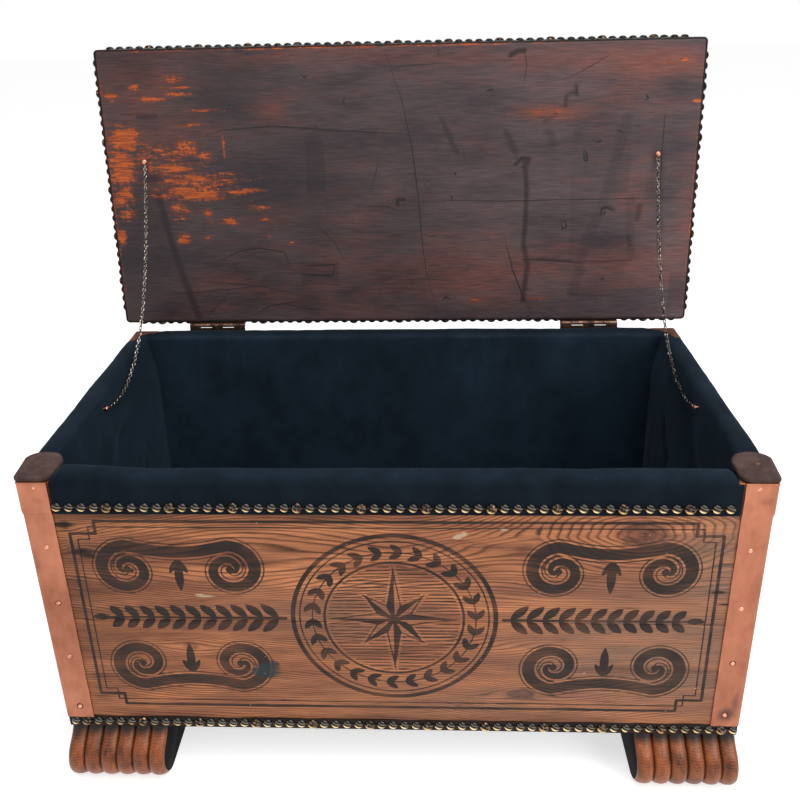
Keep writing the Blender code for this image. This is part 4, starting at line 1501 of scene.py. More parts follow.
@dataclass(frozen=True)
class CornerCap:
    """A leather bumper on a front corner: straight outside, round inside, a little puffed."""

    hand: str
    width: float = 38 * MM
    depth: float = 50 * MM
    thickness: float = 5.5 * MM
    overhang: float = 1.5 * MM
    front_round: float = 12 * MM
    rear_round: float = 21 * MM
    outer_round: float = 3 * MM
    bulge: float = 7.5 * MM
    # Insets in millimetres, each with its share of the thickness
    shape: tuple = (
        (1.2, 0.0),
        (0.4, 0.06),
        (0.0, 0.25),
        (0.0, 0.7),
        (0.35, 0.9),
        (1.2, 1.0),
        (3.0, 1.04),
        (6.0, 1.08),
        (10.0, 1.12),
        (15.0, 1.14),
    )
    tack: tuple = ((2.3, -1.2), (2.3, 0.1), (1.9, 0.45), (0.9, 0.7), (0.2, 0.75))
    tack_place: Point2 = (12 * MM, 24.7 * MM)

    def outline(self, inset: float) -> list[Point2]:
        """The cap's edge drawn in by an inset, as places from the corner.

        Args:
            inset: how far it is drawn in.

        Returns:
            The places in order.
        """
        low = -self.overhang
        across, deep = low + self.width, low + self.depth
        corners = (
            (low, low, 1, 1, self.outer_round, 180),
            (across, low, -1, 1, self.front_round, 270),
            (across, deep, -1, -1, self.rear_round, 0),
            (low, deep, 1, -1, self.front_round, 90),
        )
        points = []
        for x, y, to_x, to_y, radius, start in corners:
            shift = radius + max(0.0, inset - 0.85 * radius)
            reach = max(radius - inset, 0.15 * radius)
            for px, py in arc(reach, start, 90, 8, x + to_x * shift, y + to_y * shift):
                swell = math.sin(math.pi * max(0.0, min(1.0, (py - low) / self.depth))) ** 0.8
                points.append((px - self.bulge * swell * (to_x > 0), py))
        return points

    def build(self) -> None:
        """Rings from the foot, out round the edge and in over the top."""
        side, place, foot = WAY[self.hand], at_corner("front", self.hand), LIP_TOP + GAP
        rings = []
        for inset, share in self.shape:
            bump = 0.35 * MM * (share > 0.8)
            up = foot + self.thickness * share
            ring = []
            for x, y in self.outline(inset * MM):
                ring.append(Vector((x, y, up + bump * ripple(x / (9 * MM), y / (9 * MM), side))))
            rings.append(ring)
        node = f"corner_cap_{self.hand}"
        form = Form().loft(rings, place)
        item = form.piece(f"{node}_padded", Body.CHEST, CAP_LEATHER, "cap_leather", (node,), 75)
        if side > 0:
            stand = place @ Matrix.Translation((*self.tack_place, foot + 1.12 * self.thickness))
            form = Form().lathe(in_mm(*self.tack), 14, stand)
            form.piece(f"{node}_tack", Body.CHEST, TACK_COPPER, "copper_screw")


# Velvet lining
@dataclass(frozen=True)
class Tuck:
    """A crease in the velvet from one place to another, in millimetres."""

    start: Point2
    end: Point2
    half: float
    depth: float

    def dent(self, along: float, up: float) -> float:
        """How deep the crease is at a place.

        Args:
            along: the place along the wall.
            up: its height.

        Returns:
            The depth in millimetres.
        """
        run = (self.end[0] - self.start[0], self.end[1] - self.start[1])
        far = (along - self.start[0]) * run[0] + (up - self.start[1]) * run[1]
        share = max(0.0, min(1.0, far / max(1e-9, run[0] ** 2 + run[1] ** 2)))
        gap = math.dist((along, up), between(self.start, self.end, share))
        return self.depth * math.exp(-((gap / self.half) ** 2))


TUCKS = {
    Wall.LEFT: (
        Tuck((-88, 281), (-88.5, 280), 5, 3.0),
        Tuck((-80, 293), (-113, 289), 4, 2.0),
        Tuck((-77, 277), (-70, 255), 4, 1.8),
        Tuck((-92, 272), (-104, 268), 4, 1.2),
        Tuck((-72, 361), (-17, 338), 16, 3.5),
        Tuck((-17, 338), (10, 290), 20, 2.5),
    ),
    Wall.RIGHT: (
        Tuck((95, 325), (66, 278), 5, 3.0),
        Tuck((66, 278), (62, 255), 6, 1.5),
        Tuck((10, 385), (-30, 330), 18, 3.0),
    ),
    Wall.FRONT: (),
    Wall.BACK: (Tuck((-220, 300), (-160, 200), 30, 1.5), Tuck((150, 250), (230, 180), 34, 1.5)),
}
# Painted light on each wall's crest, darkest at the back.
CREST_PAINTED_LIGHT = {Wall.FRONT: 0.05, Wall.RIGHT: -0.05, Wall.LEFT: 0.0, Wall.BACK: -0.6}
COPPER_EDGE = 33.3 * MM


@dataclass(frozen=True)
class LiningWall:
    """One wall's velvet: a skirt outside, a stuffed roll over the rim, the lining inside."""

    wall: Wall
    roll_rise: float
    velvet: float = 1.5 * MM
    face: float = 24 * MM
    roll_drop: float = 3 * MM
    roll_steps: int = 24
    roundness: float = 0.75
    inside_steps: int = 44
    cap_width: float = 38.2 * MM
    cap_depth: float = 50.2 * MM
    lip: float = 11.3 * MM
    tuck: float = 4 * MM
    swell: float = 8 * MM
    skirt_step: float = 4 * MM
    cell: float = 3.5 * MM
    # Painted shade on the skirt.
    skirt_painted_light: float = -0.4
    slow_ripple_mm: float = 0.9
    fine_ripple_mm: float = 0.35
    wave_mm: float = 1.6
    pull_mm: float = 0.8
    pull_reach: float = 60 * MM
    calm_reach: float = 26 * MM
    wadding_half: float = 7.6 * MM
    wadding_inward: float = 8 * MM
    wadding_step: float = 8 * MM
    wadding_end: float = 18 * MM
    wadding_tall: float = 0.85
    wadding_tall_front: float = 0.55

    @property
    def foot(self) -> float:
        """The height at which the roll starts."""
        return BOARDS_TOP - self.roll_drop

    @property
    def skirt(self) -> list[float]:
        """Heights up the skirt, from the hem to the roll."""
        return spread(HEM, self.foot, self.skirt_step)[:-1]

    def path(self) -> list[Point2]:
        """The outer side of the cloth as (inward, up), from the hem to the floor.

        Returns:
            The places in order.
        """
        outside = -GAP - self.velvet
        rise = LIP_TOP + self.roll_rise - self.foot
        middle, reach = (self.face + outside) / 2, (self.face - outside) / 2
        points = [(outside, up) for up in self.skirt]
        for x, y in arc(1.0, 180, -180, self.roll_steps):
            wide = math.copysign(abs(x) ** self.roundness, x)
            points.append((middle + reach * wide, self.foot + rise * abs(y) ** self.roundness))
        drop, steps = CRATE_HIGH.z + GAP - self.foot, self.inside_steps
        return points + [(self.face, self.foot + drop * i / steps) for i in range(1, steps + 1)]

    def limit(self, inward: float, up: float, front_end: bool) -> float:
        """How far along the wall the cloth runs before a corner's fittings.

        Args:
            inward: the point's place from the wall's outer face.
            up: its height.
            front_end: whether that end of the wall has a leather cap.

        Returns:
            The distance from the wall's middle.
        """
        half = self.wall.half_length
        if front_end and up > LIP_TOP:
            return half - (self.cap_width if self.wall.long else self.cap_depth) + self.tuck
        return half - (COPPER_EDGE if inward < self.lip else inward + GAP)

    def softness(self, along: float, up: float, to_end: float, inside: bool) -> float:
        """How far the cloth stands out from its even path.

        Args:
            along: the place along the wall.
            up: its height.
            to_end: how far it is from the cloth's end.
            inside: whether it is on the inner side.

        Returns:
            The distance in metres.
        """
        seed = self.wall.value / 10
        over_rim = smooth((up - self.foot + 12 * MM) / (14 * MM))
        soft = self.slow_ripple_mm * ripple(along / (70 * MM), up / (40 * MM), seed) * over_rim
        soft += self.fine_ripple_mm * ripple(along / (16 * MM), up / (22 * MM), seed + 3) * over_rim
        if inside:
            wave = self.wave_mm * ripple(along / (110 * MM), up / (90 * MM), seed + 5)
            slant = along / (24 * MM) + up / (60 * MM)
            pull = self.pull_mm * ripple(slant, up / (150 * MM), seed + 9)
            soft += (wave + pull * (1 - smooth(to_end / self.pull_reach))) * (1 - over_rim)
            soft -= sum(tuck.dent(along / MM, up / MM) for tuck in TUCKS[self.wall])
        calm = smooth(to_end / self.calm_reach) if inside or over_rim > 0.5 else 0.4
        return soft * MM * calm

    def fullness(self, along: float, up: float) -> float:
        """How far an end wall's lining stands into the box, more towards the rear.

        Args:
            along: the place along the wall.
            up: its height.

        Returns:
            The distance in metres.
        """
        to_rear = {Wall.LEFT: -1, Wall.RIGHT: 1}.get(self.wall, 0)
        rear = 0.3 + 0.7 * smooth((to_rear * along / self.wall.half_length + 0.6) / 1.4)
        rise = smooth((self.foot - up) / (55 * MM)) * smooth((up - CRATE_HIGH.z) / (30 * MM))
        return abs(to_rear) * self.swell * rear * rise

    def droop(self, along: float, up: float, to_end: float) -> float:
        """How far the roll sinks towards its ends, and all along the front's right.

        Args:
            along: the place along the wall.
            up: its height.
            to_end: how far it is from the cloth's end.

        Returns:
            The distance in metres.
        """
        sunk = (1 - smooth(to_end / (12 * MM))) * max(0.0, up - LIP_TOP) * 0.75
        if self.wall is Wall.FRONT:
            sunk += 4.6 * MM * smooth((along + 345 * MM) / (90 * MM)) * smooth((up - self.foot) / (10 * MM))
        return sunk

    def painted_light_levels(self, count: int) -> list[float]:
        """Painted light and shade at each place of the path: darker on the skirt, set by wall on the crest,
        lighter inside.

        Args:
            count: how many places the path has.

        Returns:
            A value for each, from -1 to 1.
        """
        crest, inner = CREST_PAINTED_LIGHT[self.wall], 1.0 if self.wall is Wall.BACK else 0.5
        half = self.roll_steps // 2
        values = [self.skirt_painted_light] * len(self.skirt)
        values += [self.skirt_painted_light + (crest - self.skirt_painted_light) * smooth(i / (half - 1)) for i in range(half)]
        values += [crest + (inner - crest) * smooth(i / half) for i in range(half + 1)]
        return values + [inner] * (count - len(values))

    def build(self) -> None:
        """A skin of two sides through the path, softened by ripples and tucks."""
        path, half = self.path(), self.wall.half_length
        front_ends = (self.wall in (Wall.FRONT, Wall.RIGHT), self.wall in (Wall.FRONT, Wall.LEFT))
        rings = []
        for share in spread(0, 1, self.cell / (2 * half)):
            outer, inner = [], []
            for i, (inward, up) in enumerate(path):
                run = heading(path, i)
                low, high = -self.limit(inward, up, front_ends[0]), self.limit(inward, up, front_ends[1])
                along = low + (high - low) * share
                to_end = min(along - low, high - along)
                inside = inward > 12 * MM
                soft, sunk = self.softness(along, up, to_end, inside), self.droop(along, up, to_end)
                full = self.fullness(along, up) if inside else 0.0
                outer.append(Vector((along, inward - run.y * soft + full, up + run.x * soft - sunk)))
                inner.append(Vector((along, inward + run.y * self.velvet, up - run.x * self.velvet - sunk)))
            rings.append(outer + inner[::-1])
        node = f"lining_{self.wall.word}"
        form = Form().loft(rings, self.wall.place)
        item = form.piece(f"{node}_velvet", Body.CHEST, VELVET, "velvet", (node,), 60)
        # Painted light and shade along the path, the same at every station of the wall.
        painted_light_levels = self.painted_light_levels(len(path))
        keep(item, "painted_velvet_light", (painted_light_levels + painted_light_levels[::-1]) * len(rings))

    def wadding(self) -> None:
        """The roll of wadding between the board's top and the velvet."""
        node = f"rim_wadding_{self.wall.word}"
        low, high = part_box(node)
        start, end = long_side(low, high, self.wall)
        middle = (start + end) / 2 * (-1 if self.wall in (Wall.BACK, Wall.LEFT) else 1)
        half = (end - start) / 2 - self.wadding_end
        share = self.wadding_tall_front if self.wall is Wall.FRONT else self.wadding_tall
        tall = (high.z - low.z) * share
        rings = []
        for along in spread(-half, half, self.wadding_step):
            ring = []
            for i, (x, y) in enumerate(arc(1.0, 0, 180, 16)):
                lump = 1 - 0.05 * (1 + ripple(along / (20 * MM), math.pi * i / 8, 1))
                inward = self.wadding_inward + self.wadding_half * x * lump
                ring.append(Vector((middle + along, inward, low.z + tall * y * lump)))
            rings.append(ring)
        form = Form().loft(rings, self.wall.place)
        item = form.piece(f"{node}_roll", Body.CHEST, WADDING, "wadding", (node,), 70)


def lining_floor(cell: float = 8 * MM) -> None:
    """The velvet-covered panel on the base, soft at its edges.

    Args:
        cell: the size of the mesh's cells.
    """
    low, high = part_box("lining_floor")
    rings = []
    for along in spread(low.x, high.x, cell):
        ring = []
        for inward in spread(low.y, high.y, cell):
            edge = min(along - low.x, high.x - along, inward - low.y, high.y - inward)
            sink = 2.2 * MM * (1 - smooth(edge / (9 * MM)))
            wave = 0.5 * MM * (ripple(along / (60 * MM), inward / (60 * MM), 2) - 1)
            ring.append(Vector((along, inward, high.z - sink + wave * smooth(edge / (20 * MM)))))
        rings.append(ring + [Vector((along, high.y, low.z)), Vector((along, low.y, low.z))])
    form = Form().loft(rings)
    item = form.piece("lining_floor_velvet", Body.CHEST, VELVET, "velvet", ("lining_floor",), 60)


# Nail strips
@dataclass(frozen=True)
class NailStrip:
    """A strip of false nail heads on a thin web, with a real nail in every fifth place."""

    node: str
    body: Body
    length: float
    place: Matrix
    first_nail: float
    reflection_strength: float
    reflection_offset: float = 0.0
    pitch: float = 13.48 * MM
    radius: float = 5.35 * MM
    rise: float = 3.5 * MM
    web: float = 0.8 * MM
    web_steps: int = 6
    web_reflection_side: float = 0.12
    sides: int = 14
    every: int = 5
    real_size: float = 1.17
    real_rise: float = 1.22
    real_lift: float = 0.2 * MM
    uneven: float = 0.03
    sway: float = 0.25 * MM
    lean: float = 0.09
    # Shares of the head's radius and rise, from its rim to its crown
    head: tuple = ((0.94, 0.0), (1.0, 0.12), (0.93, 0.42), (0.74, 0.72), (0.46, 0.92), (0.14, 1.0))

    def ribbon(self, places: Sequence[float]) -> list[list[Vector]]:
        """The thin web from the first nail to the last, wider below each head.

        Args:
            places: where the nails are along it.

        Returns:
            The web's rings in order.
        """
        rings = []
        for i in range((len(places) - 1) * self.web_steps + 1):
            x = places[0] + i * self.pitch / self.web_steps
            swell = abs(math.cos(math.pi * i / self.web_steps)) ** 5
            half = self.web + (self.radius * 0.7 - self.web) * swell
            across = ((-half, 0), (-half, 0.35 * MM), (0, 0.8 * MM), (half, 0.35 * MM), (half, 0))
            rings.append([Vector((x, y, z)) for y, z in across])
        return rings

    def build(self) -> None:
        """The ribbon with its heads as one piece, and the real nails over it as another."""
        reach = self.length / 2 - self.radius * 0.6
        first = math.ceil((-reach - self.first_nail) / self.pitch)
        last = math.floor((reach - self.first_nail) / self.pitch)
        places = {i: self.first_nail + i * self.pitch for i in range(first, last + 1)}
        form, nails = Form().loft(self.ribbon(list(places.values())), self.place), Form()
        reflection_sides = {False: [self.web_reflection_side] * len(form.points), True: []}
        for i, x in places.items():
            real = i % self.every == 0
            radius = self.radius * (self.real_size if real else 1.0 + self.uneven * ripple(i * 1.7, 0, 5))
            rise, lift = self.rise * (self.real_rise if real else 1.0), self.real_lift * real
            aside = self.sway * ripple(i * 1.3, 8, 1) * (2.0 if real else 1.0)
            profile = [(radius * wide, lift + rise * high) for wide, high in self.head]
            tilt = Matrix.Rotation(self.lean * ripple(i * 2.1, 3, 2), 4, "X")
            tilt = tilt @ Matrix.Rotation(self.lean * ripple(i * 1.1, 5, 9), 4, "Y")
            stand = self.place @ Matrix.Translation((x, aside, 0)) @ tilt
            (nails if real else form).lathe(profile, self.sides, stand)
            # Painted reflection: each point keeps its side of the head, dark at the crown and golden below,
            # shifted by the strip's offset.
            turns = [2 * math.pi * k / self.sides + 0.32 for k in range(self.sides)]
            for wide, _ in self.head:
                reflection_sides[real] += [self.reflection_offset - self.reflection_strength * wide * math.sin(turn) for turn in turns]
        heads = form.piece(f"{self.node}_heads", self.body, NAIL_FALSE, "antique_nails", (self.node,), 50)
        keep(heads, "reflection_side", reflection_sides[False])
        if nails.points:
            real_heads = nails.piece(f"{self.node}_nails", self.body, NAIL_REAL, "antique_nails", (), 50)
            keep(real_heads, "reflection_side", reflection_sides[True])


def crate_strips(out: float = 2.1 * MM, above_hem: float = 9 * MM, below_base: float = 6 * MM) -> None:
    """The strips on the velvet's hem and on the base, on all four walls.

    Args:
        out: how far the upper strips stand off the boards.
        above_hem: how far they are above the velvet's hem.
        below_base: how far the lower strips are below the base's top.
    """
    for wall in Wall:
        first_top, first_base = (37.3 * MM, 35.5 * MM) if wall is Wall.FRONT else (4 * MM, 2 * MM)
        top = wall.place @ Matrix.Translation((0, -out, HEM + above_hem)) @ UPRIGHT
        length = 2 * (wall.half_length - COPPER_EDGE)
        NailStrip(f"nail_strip_top_{wall.word}", Body.CHEST, length, top, first_top, 1.2).build()
        base = wall.place @ Matrix.Translation((0, -GAP, CRATE_HIGH.z - below_base)) @ UPRIGHT
        length = 2 * wall.half_length
        NailStrip(f"nail_strip_base_{wall.word}", Body.CHEST, length, base, first_base, 1.3, 0.16).build()


# Lid
@dataclass(frozen=True)
class Stroke:
    """A mark on the lid's underside: a way of (along, out from the hinge) in millimetres."""

    way: tuple[Point2, ...]
    width_mm: float
    depth: float


def strokes(*rows: Sequence[float]) -> tuple[Stroke, ...]:
    """Marks from rows of a width, a depth, and then the places one after another."""
    return tuple(Stroke(tuple(zip(row[2::2], row[3::2])), row[0], row[1]) for row in rows)


# Patches on the underside: along, out, half-sizes along and out in millimetres, and strength
WORN = (
    (-380, 269, 19, 14.1, 0.66), (-388, 229, 15.2, 22.2, 0.66), (-393, 188, 12.7, 14.7, 0.56),
    (-352, 248, 19.7, 22, 0.36), (-295, 255, 20.2, 9, 0.52), (-315, 228, 31.6, 7.8, 0.52),
    (-286, 212, 54, 9.2, 0.46), (-295, 193, 45.1, 9.6, 0.58), (-281, 189, 29.1, 6.4, 0.68),
    (-222, 194, 23.7, 3.6, 0.56), (-312, 169, 10.7, 12.8, 0.44), (-271, 159, 5.6, 8.8, 0.42),
    (-241, 151, 9.6, 5, 0.56), (-198, 170, 13.9, 3.3, 0.44), (-191, 154, 5.3, 2.4, 0.48),
    (-389, 163, 10.8, 6.8, 0.5), (-401, 129, 6.2, 9.1, 0.64), (-310, 125, 8.4, 6.6, 0.54),
    (-274, 129, 5.4, 2.7, 0.44), (-186, 128, 2.7, 2.7, 0.44), (-155, 118, 3.3, 2.7, 0.54),
    (-393, 329, 8.4, 3.7, 0.6), (-392, 322, 3.2, 1.5, 0.55), (-360, 339, 6, 2.7, 0.56),
    (-336, 323, 15.7, 2.4, 0.64), (-307, 349, 10.8, 4, 0.54), (-303, 329, 17.5, 2.5, 0.5),
    (-299, 338, 19.2, 1.2, 0.46), (-273, 307, 23.1, 1.8, 0.44), (-284, 287, 14.9, 2.1, 0.46),
    (-327, 251, 31.4, 11.6, 0.36), (-267, 244, 10.4, 3.9, 0.52), (-242, 256, 1.5, 12, 0.62),
    (402, 308, 4.8, 1.7, 1.05), (363, 358, 24, 8, 0.24), (379, 360, 7.2, 6.5, 0.42),
    (207, 296, 23.6, 3.7, 0.42), (108, 29, 10.7, 2.8, 0.52), (199, 31, 21.3, 1.4, 0.38),
    (-408, 180, 3, 160, 0.5), (408, 150, 2.5, 130, 0.42), (-120, 388, 230, 2.0, 0.5),
    (60, 388, 120, 2.0, 0.55),
)
WARM = (
    (-351, 345, 56, 40, 0.5), (-308, 364, 11, 11, 0.4), (-167, 303, 19, 15, 0.55), (-300, 286, 52, 20, 0.4),
    (-193, 156, 40, 20, 0.25), (-260, 56, 96, 21, 0.3), (-294, 17, 97, 14, 0.25), (-71, 71, 75, 56, 0.3),
    (-142, 375, 146, 10, 0.34), (275, 365, 121, 15, 0.55), (350, 357, 48, 14, 1.25), (73, 368, 62, 14, 0.4),
    (205, 296, 32, 7, 1.0), (102, 67, 93, 36, 0.5), (178, 75, 50, 14, 0.5), (326, 81, 72, 29, 0.5),
    (330, 177, 20, 59, 0.3), (318, 310, 61, 24, 0.25), (399, 146, 10, 86, 0.4),
)
COOL = (
    (-374, 91, 44, 78, 0.5), (-176, 215, 67, 42, 0.5), (-348, 365, 23, 16, 0.4), (-240, 339, 47, 25, 0.4),
    (-124, 125, 24, 40, 0.3), (-131, 22, 12, 23, 0.4), (374, 328, 22, 14, 0.45), (384, 225, 20, 44, 0.4),
    (343, 26, 59, 21, 0.5), (298, 120, 27, 18, 0.5), (131, 14, 121, 11, 0.4), (127, 252, 49, 32, 0.15),
    (21, 237, 17, 96, 0.15),
)

# Marks on the underside: width, depth, and then the places
SCUFFED = strokes(
    (7.5, 0.55, -341, 190, -332, 136, -318, 74, -300, 6),
    (5.5, 0.62, 174, 231, 178, 191, 177, 139, 175, 112, 182, 82, 176, 28),
    (4.5, 0.6, 162, 226, 171, 235, 180, 234, 178, 226),
    (4.5, 0.5, 227, 305, 228, 318, 237, 322, 242, 319, 240, 331),
    (5, 0.45, 64, 279, 71, 264, 77, 251, 82, 244),
    (6, 0.45, 148, 271, 156, 254, 160, 243),
    (5, 0.6, 282, 154, 283, 163, 290, 164, 298, 161),
    (7, 0.5, 334, 165, 332, 147),
    (6, 0.6, 321, 122, 324, 109),
    (3, 0.45, 175, 90, 221, 88, 261, 84, 327, 87),
    (4, 0.65, -2, 171, -2, 179, 7, 179),
    (13, 0.3, 310, 285, 295, 218, 281, 161, 264, 118, 247, 40),
    (14, 0.35, 263, 118, 290, 112, 320, 118),
    (11, 0.3, 322, 175, 322, 120, 326, 100),
    (7, 0.3, 360, 240, 362, 175, 366, 103),
    (5, 0.5, -358, 300, -333, 300),
    (5, 0.75, 152, 371, 160, 376, 170, 377),
    (9, 0.5, -350, 214, -338, 214),
    (5, 0.35, 200, 284, 214, 292),
    (8, 0.3, 150, 262, 162, 240),
    (9, 0.3, 206, 270, 212, 256),
    (5, 0.3, 60, 290, 74, 262),
    (22, 0.22, -136, 82, -120, 60, -96, 76),
    (55, 0.25, -120, 262, -110, 200),
    (20, 0.3, 390, 60, 404, 20),
)
CUTS = strokes(
    (1.1, 0.4, -15, 384, 7, 315, 20, 250, 28, 176, 32, 118, 37, 76, 53, 6),
    (1.5, 0.5, -267, 272, -241, 280, -170, 284, -86, 277, 15, 270),
    (0.8, 0.4, 19, 174, 86, 177, 142, 175, 242, 176, 336, 176, 404, 177),
    (0.8, 0.3, 361, 303, 360, 244, 362, 175),
    (1.1, 0.4, 148, 126, 161, 75, 176, 36, 191, 4),
    (1.3, 0.5, -272, 89, -229, 107, -202, 111, -167, 105, -159, 85),
    (1.4, 0.5, -136, 84, -94, 85, -88, 88),
    (1.7, 0.5, -145, 71, -98, 69, -94, 84),
    (0.7, 0.4, -361, 40, -288, 46, -167, 57),
    (0.9, 0.4, -285, 8, -249, 46),
    (1.3, 0.5, -221, 6, -193, 23, -141, 32),
    (0.7, 0.4, -292, 62, -200, 53, -138, 38),
    (0.7, 0.3, -120, 148, -93, 118, -79, 90),
    (0.8, 0.4, -25, 245, -31, 217, -41, 188),
    (1.8, 0.5, -129, 353, -124, 348, -118, 352),
    (1.6, 0.5, -70, 323, -73, 315, -70, 308),
    (0.9, 0.4, -61, 171, -18, 170, 13, 158),
    (0.8, 0.4, -22, 350, 5, 360, 38, 362, 70, 363),
    (0.7, 0.4, 219, 337, 245, 348, 284, 370),
    (0.8, 0.4, 58, 384, 56, 372),
    (0.7, 0.4, 170, 382, 174, 359, 171, 336),
    (2.6, 0.6, 60, 29, 66, 35, 73, 29),
    (2.6, 0.5, 120, 326, 132, 328),
    (3.0, 0.6, 270, 254, 279, 257),
    (2.0, 0.5, 227, 146, 229, 134, 235, 137, 233, 144, 227, 146),
    (2.2, 0.5, 282, 154, 283, 163, 290, 164, 298, 161),
    (1.6, 0.5, 286, 152, 289, 160),
    (2.4, 0.6, 254, 244, 256, 230, 260, 230, 258, 241, 254, 244),
    (3.4, 0.6, 78, 217, 80, 212),
    (2.0, 0.6, -2, 171, -2, 179, 7, 179),
    (1.8, 0.5, 70, 184, 75, 182, 73, 174),
    (1.6, 0.5, 297, 272, 305, 269),
    (2.0, 0.5, 287, 58, 291, 62),
    (1.6, 0.5, 162, 226, 171, 235, 180, 234, 178, 228),
    (1.2, 0.4, 175, 90, 221, 88, 261, 84),
    (1.6, 0.4, 240, 331, 242, 319, 236, 322),
    (2.4, 0.5, 334, 318, 337, 312, 332, 310),
    (0.8, 0.4, -300, 106, -296, 98),
    (0.9, 0.4, -170, 12, -150, 20, -120, 18),
    (0.7, 0.4, 90, 252, 92, 232),
)

# Ring marks: along, out and radius
RINGS_SEEN = ((41, 199, 5.0), (44, 72, 4.4), (-372, 192, 3.4))


@dataclass(frozen=True)
class Lid:
    """The lid: a stained board, foam, leather over it and nails along its edges."""

    half_width: float = 407.5 * MM
    rear: float = -5.1 * MM
    front: float = -393.1 * MM
    underside: float = 4 * MM
    board: float = 18 * MM
    corner: float = 4 * MM
    corner_steps: int = 8
    corner_shares: tuple = (0.35, 0.65, 0.85, 0.96, 1.0)
    leather: float = 1.5 * MM
    edge_height: float = 14 * MM
    start_crown: float = 14 * MM
    wrinkle: float = 1.1 * MM
    foam_inset: float = 2 * MM
    foam_lower: float = 2.5 * MM
    foam_flatter: float = 1 * MM
    foam_wrinkle: float = 0.5 * MM
    held_up: float = 2 * MM
    hem_up: float = 0.4 * MM
    lip_down: float = 0.15 * MM
    swell_cap: float = 11 * MM
    swell_voxel: float = 8 * MM
    swell_pressure: float = 1.5
    swell_frames: int = 14
    swell_sideways: float = 0.4
    cell: float = 2.0 * MM
    grain_relief_mm: float = 0.12
    wave_relief_mm: float = 0.3
    scuff_relief_mm: float = 0.5
    edge_wear: float = 0.8 * MM
    edge_reach: float = 1.6 * MM
    cut_step_mm: float = 4.0
    cut_wander_mm: float = 0.5
    cut_share: float = 0.85
    long_steps: int = 72
    short_steps: int = 34
    strip_out: float = 2.1 * MM
    strip_up: float = 6 * MM
    strip_margin: float = 12 * MM
    hinge_gap: Point2 = (230.2 * MM, 312.8 * MM)
    rim_shares: tuple = (0, 0.01, 0.03, 0.06, 0.1, 0.15, 0.2, 0.26, 0.32)
    crown_shares: tuple = (0.39, 0.46, 0.53, 0.6, 0.68, 0.76, 0.84, 0.92, 0.985)

    @property
    def middle(self) -> float:
        """The place halfway from the lid's rear to its front."""
        return (self.rear + self.front) / 2

    @property
    def half_depth(self) -> float:
        """Half the way from the lid's rear to its front."""
        return (self.rear - self.front) / 2

    @property
    def top(self) -> float:
        """The board's upper face, with the gap over it."""
        return self.underside + self.board + GAP

    def wood(self) -> None:
        """The board, with its wear kept on the underside's points."""
        straight = self.half_width - self.corner
        ends = [straight + self.corner * share for share in self.corner_shares]
        stations = [-x for x in reversed(ends)] + spread(-straight, straight, self.cell) + ends
        shares = spread(-1, 1, self.cell / self.half_depth)
        chart = Chart(stations, [self.half_depth * (1 + s) for s in shares])
        scuff = np.zeros(chart.along.shape)
        for stroke in SCUFFED:
            window, far = chart.brush(stroke.way, [0.0] * len(stroke.way))
            soft = np.clip(1.35 - 1.35 * far / stroke.width_mm, 0, 1)
            scuff[window] = np.maximum(scuff[window], stroke.depth * soft * soft * (3 - 2 * soft))
        depth = self.grain_relief_mm * (1 + chart.grains(50, 2.6, 3))
        depth += self.wave_relief_mm * chart.grains(120, 60, 8)
        depth += self.scuff_relief_mm * scuff
        rings = []
        for x, column in zip(stations, depth):
            over = max(0.0, abs(x) - straight)
            reach = self.half_depth - self.corner + math.sqrt(max(0.0, self.corner**2 - over**2))
            ring = []
            for share, deep in zip(shares, column):
                edge = min(reach - abs(share) * reach, self.half_width - abs(x))
                sink = deep * MM + self.edge_wear * (1 - smooth(edge / self.edge_reach))
                ring.append(Vector((x, self.middle - share * reach, self.underside + sink)))
            back = [Vector((x, self.middle + y, self.underside + self.board)) for y in (-reach, reach)]
            rings.append(ring + back)
        form = Form().loft(rings, LID_PLACE)
        item = form.piece("lid_board_stained", Body.LID, STAINED, "lid_pine", ("lid_board",), 50)
        marks = {"wear": chart.patches(WORN), "warmth": chart.patches(WARM), "cool": chart.patches(COOL)}
        marks["scuff"] = scuff
        across, low = chart.along / (self.half_width / MM), 1 - chart.up / (2 * self.half_depth / MM)
        # Painted light, lighter to the right and most at the lower right.
        marks["light"] = 0.94 + 0.17 * across + 0.36 * np.clip(across, 0, 1) * low
        chart.keep_all(item, marks)

    def groove(self, cut: Stroke, number: int) -> list[Ring]:
        """The rings of one cut, which wanders a little and tapers at its ends.

        Args:
            cut: the cut.
            number: sets its own unevenness.

        Returns:
            The rings in order.
        """
        places = []
        for a, b in zip(cut.way, cut.way[1:]):
            steps = max(2, round(math.dist(a, b) / self.cut_step_mm))
            places += [between(a, b, k / steps) for k in range(steps)]
        places.append(cut.way[-1])
        rings = []
        for k, (along, out) in enumerate(places):
            run = heading(places, k)
            wander = self.cut_wander_mm * ripple(k * 0.35, number, 0)
            taper = min(1.0, 0.15 + 2.5 * min(k, len(places) - 1 - k) / len(places))
            half = self.cut_share * cut.width_mm * taper * (0.75 + 0.5 * ripple(k * 0.8, number, 4))
            ring = []
            for side, down in ((-1, 0.02), (1, 0.02), (1, 0.7), (-1, 0.7)):
                aside = wander + side * half
                x, y = (along - aside * run.y) * MM, self.rear - (out + aside * run.x) * MM
                ring.append(Vector((x, y, self.underside + (down - 0.12) * MM)))
            rings.append(ring)
        return rings

    def cuts(self) -> None:
        """Scratches, cracks and ring marks, as fine dark grooves in the board's face."""
        form, ways = Form(), list(CUTS)
        for along, out, radius in RINGS_SEEN:
            ring = [(along + x, out + y * 1.05) for x, y in arc(radius, 0, 360, 20)]
            ways.append(Stroke(tuple(ring), 0.5, 0.3))
        for number, cut in enumerate(ways):
            form.loft(self.groove(cut, number), LID_PLACE)
        form.piece("lid_board_scratches", Body.LID, SCORED, "lid_pine", (), 30)

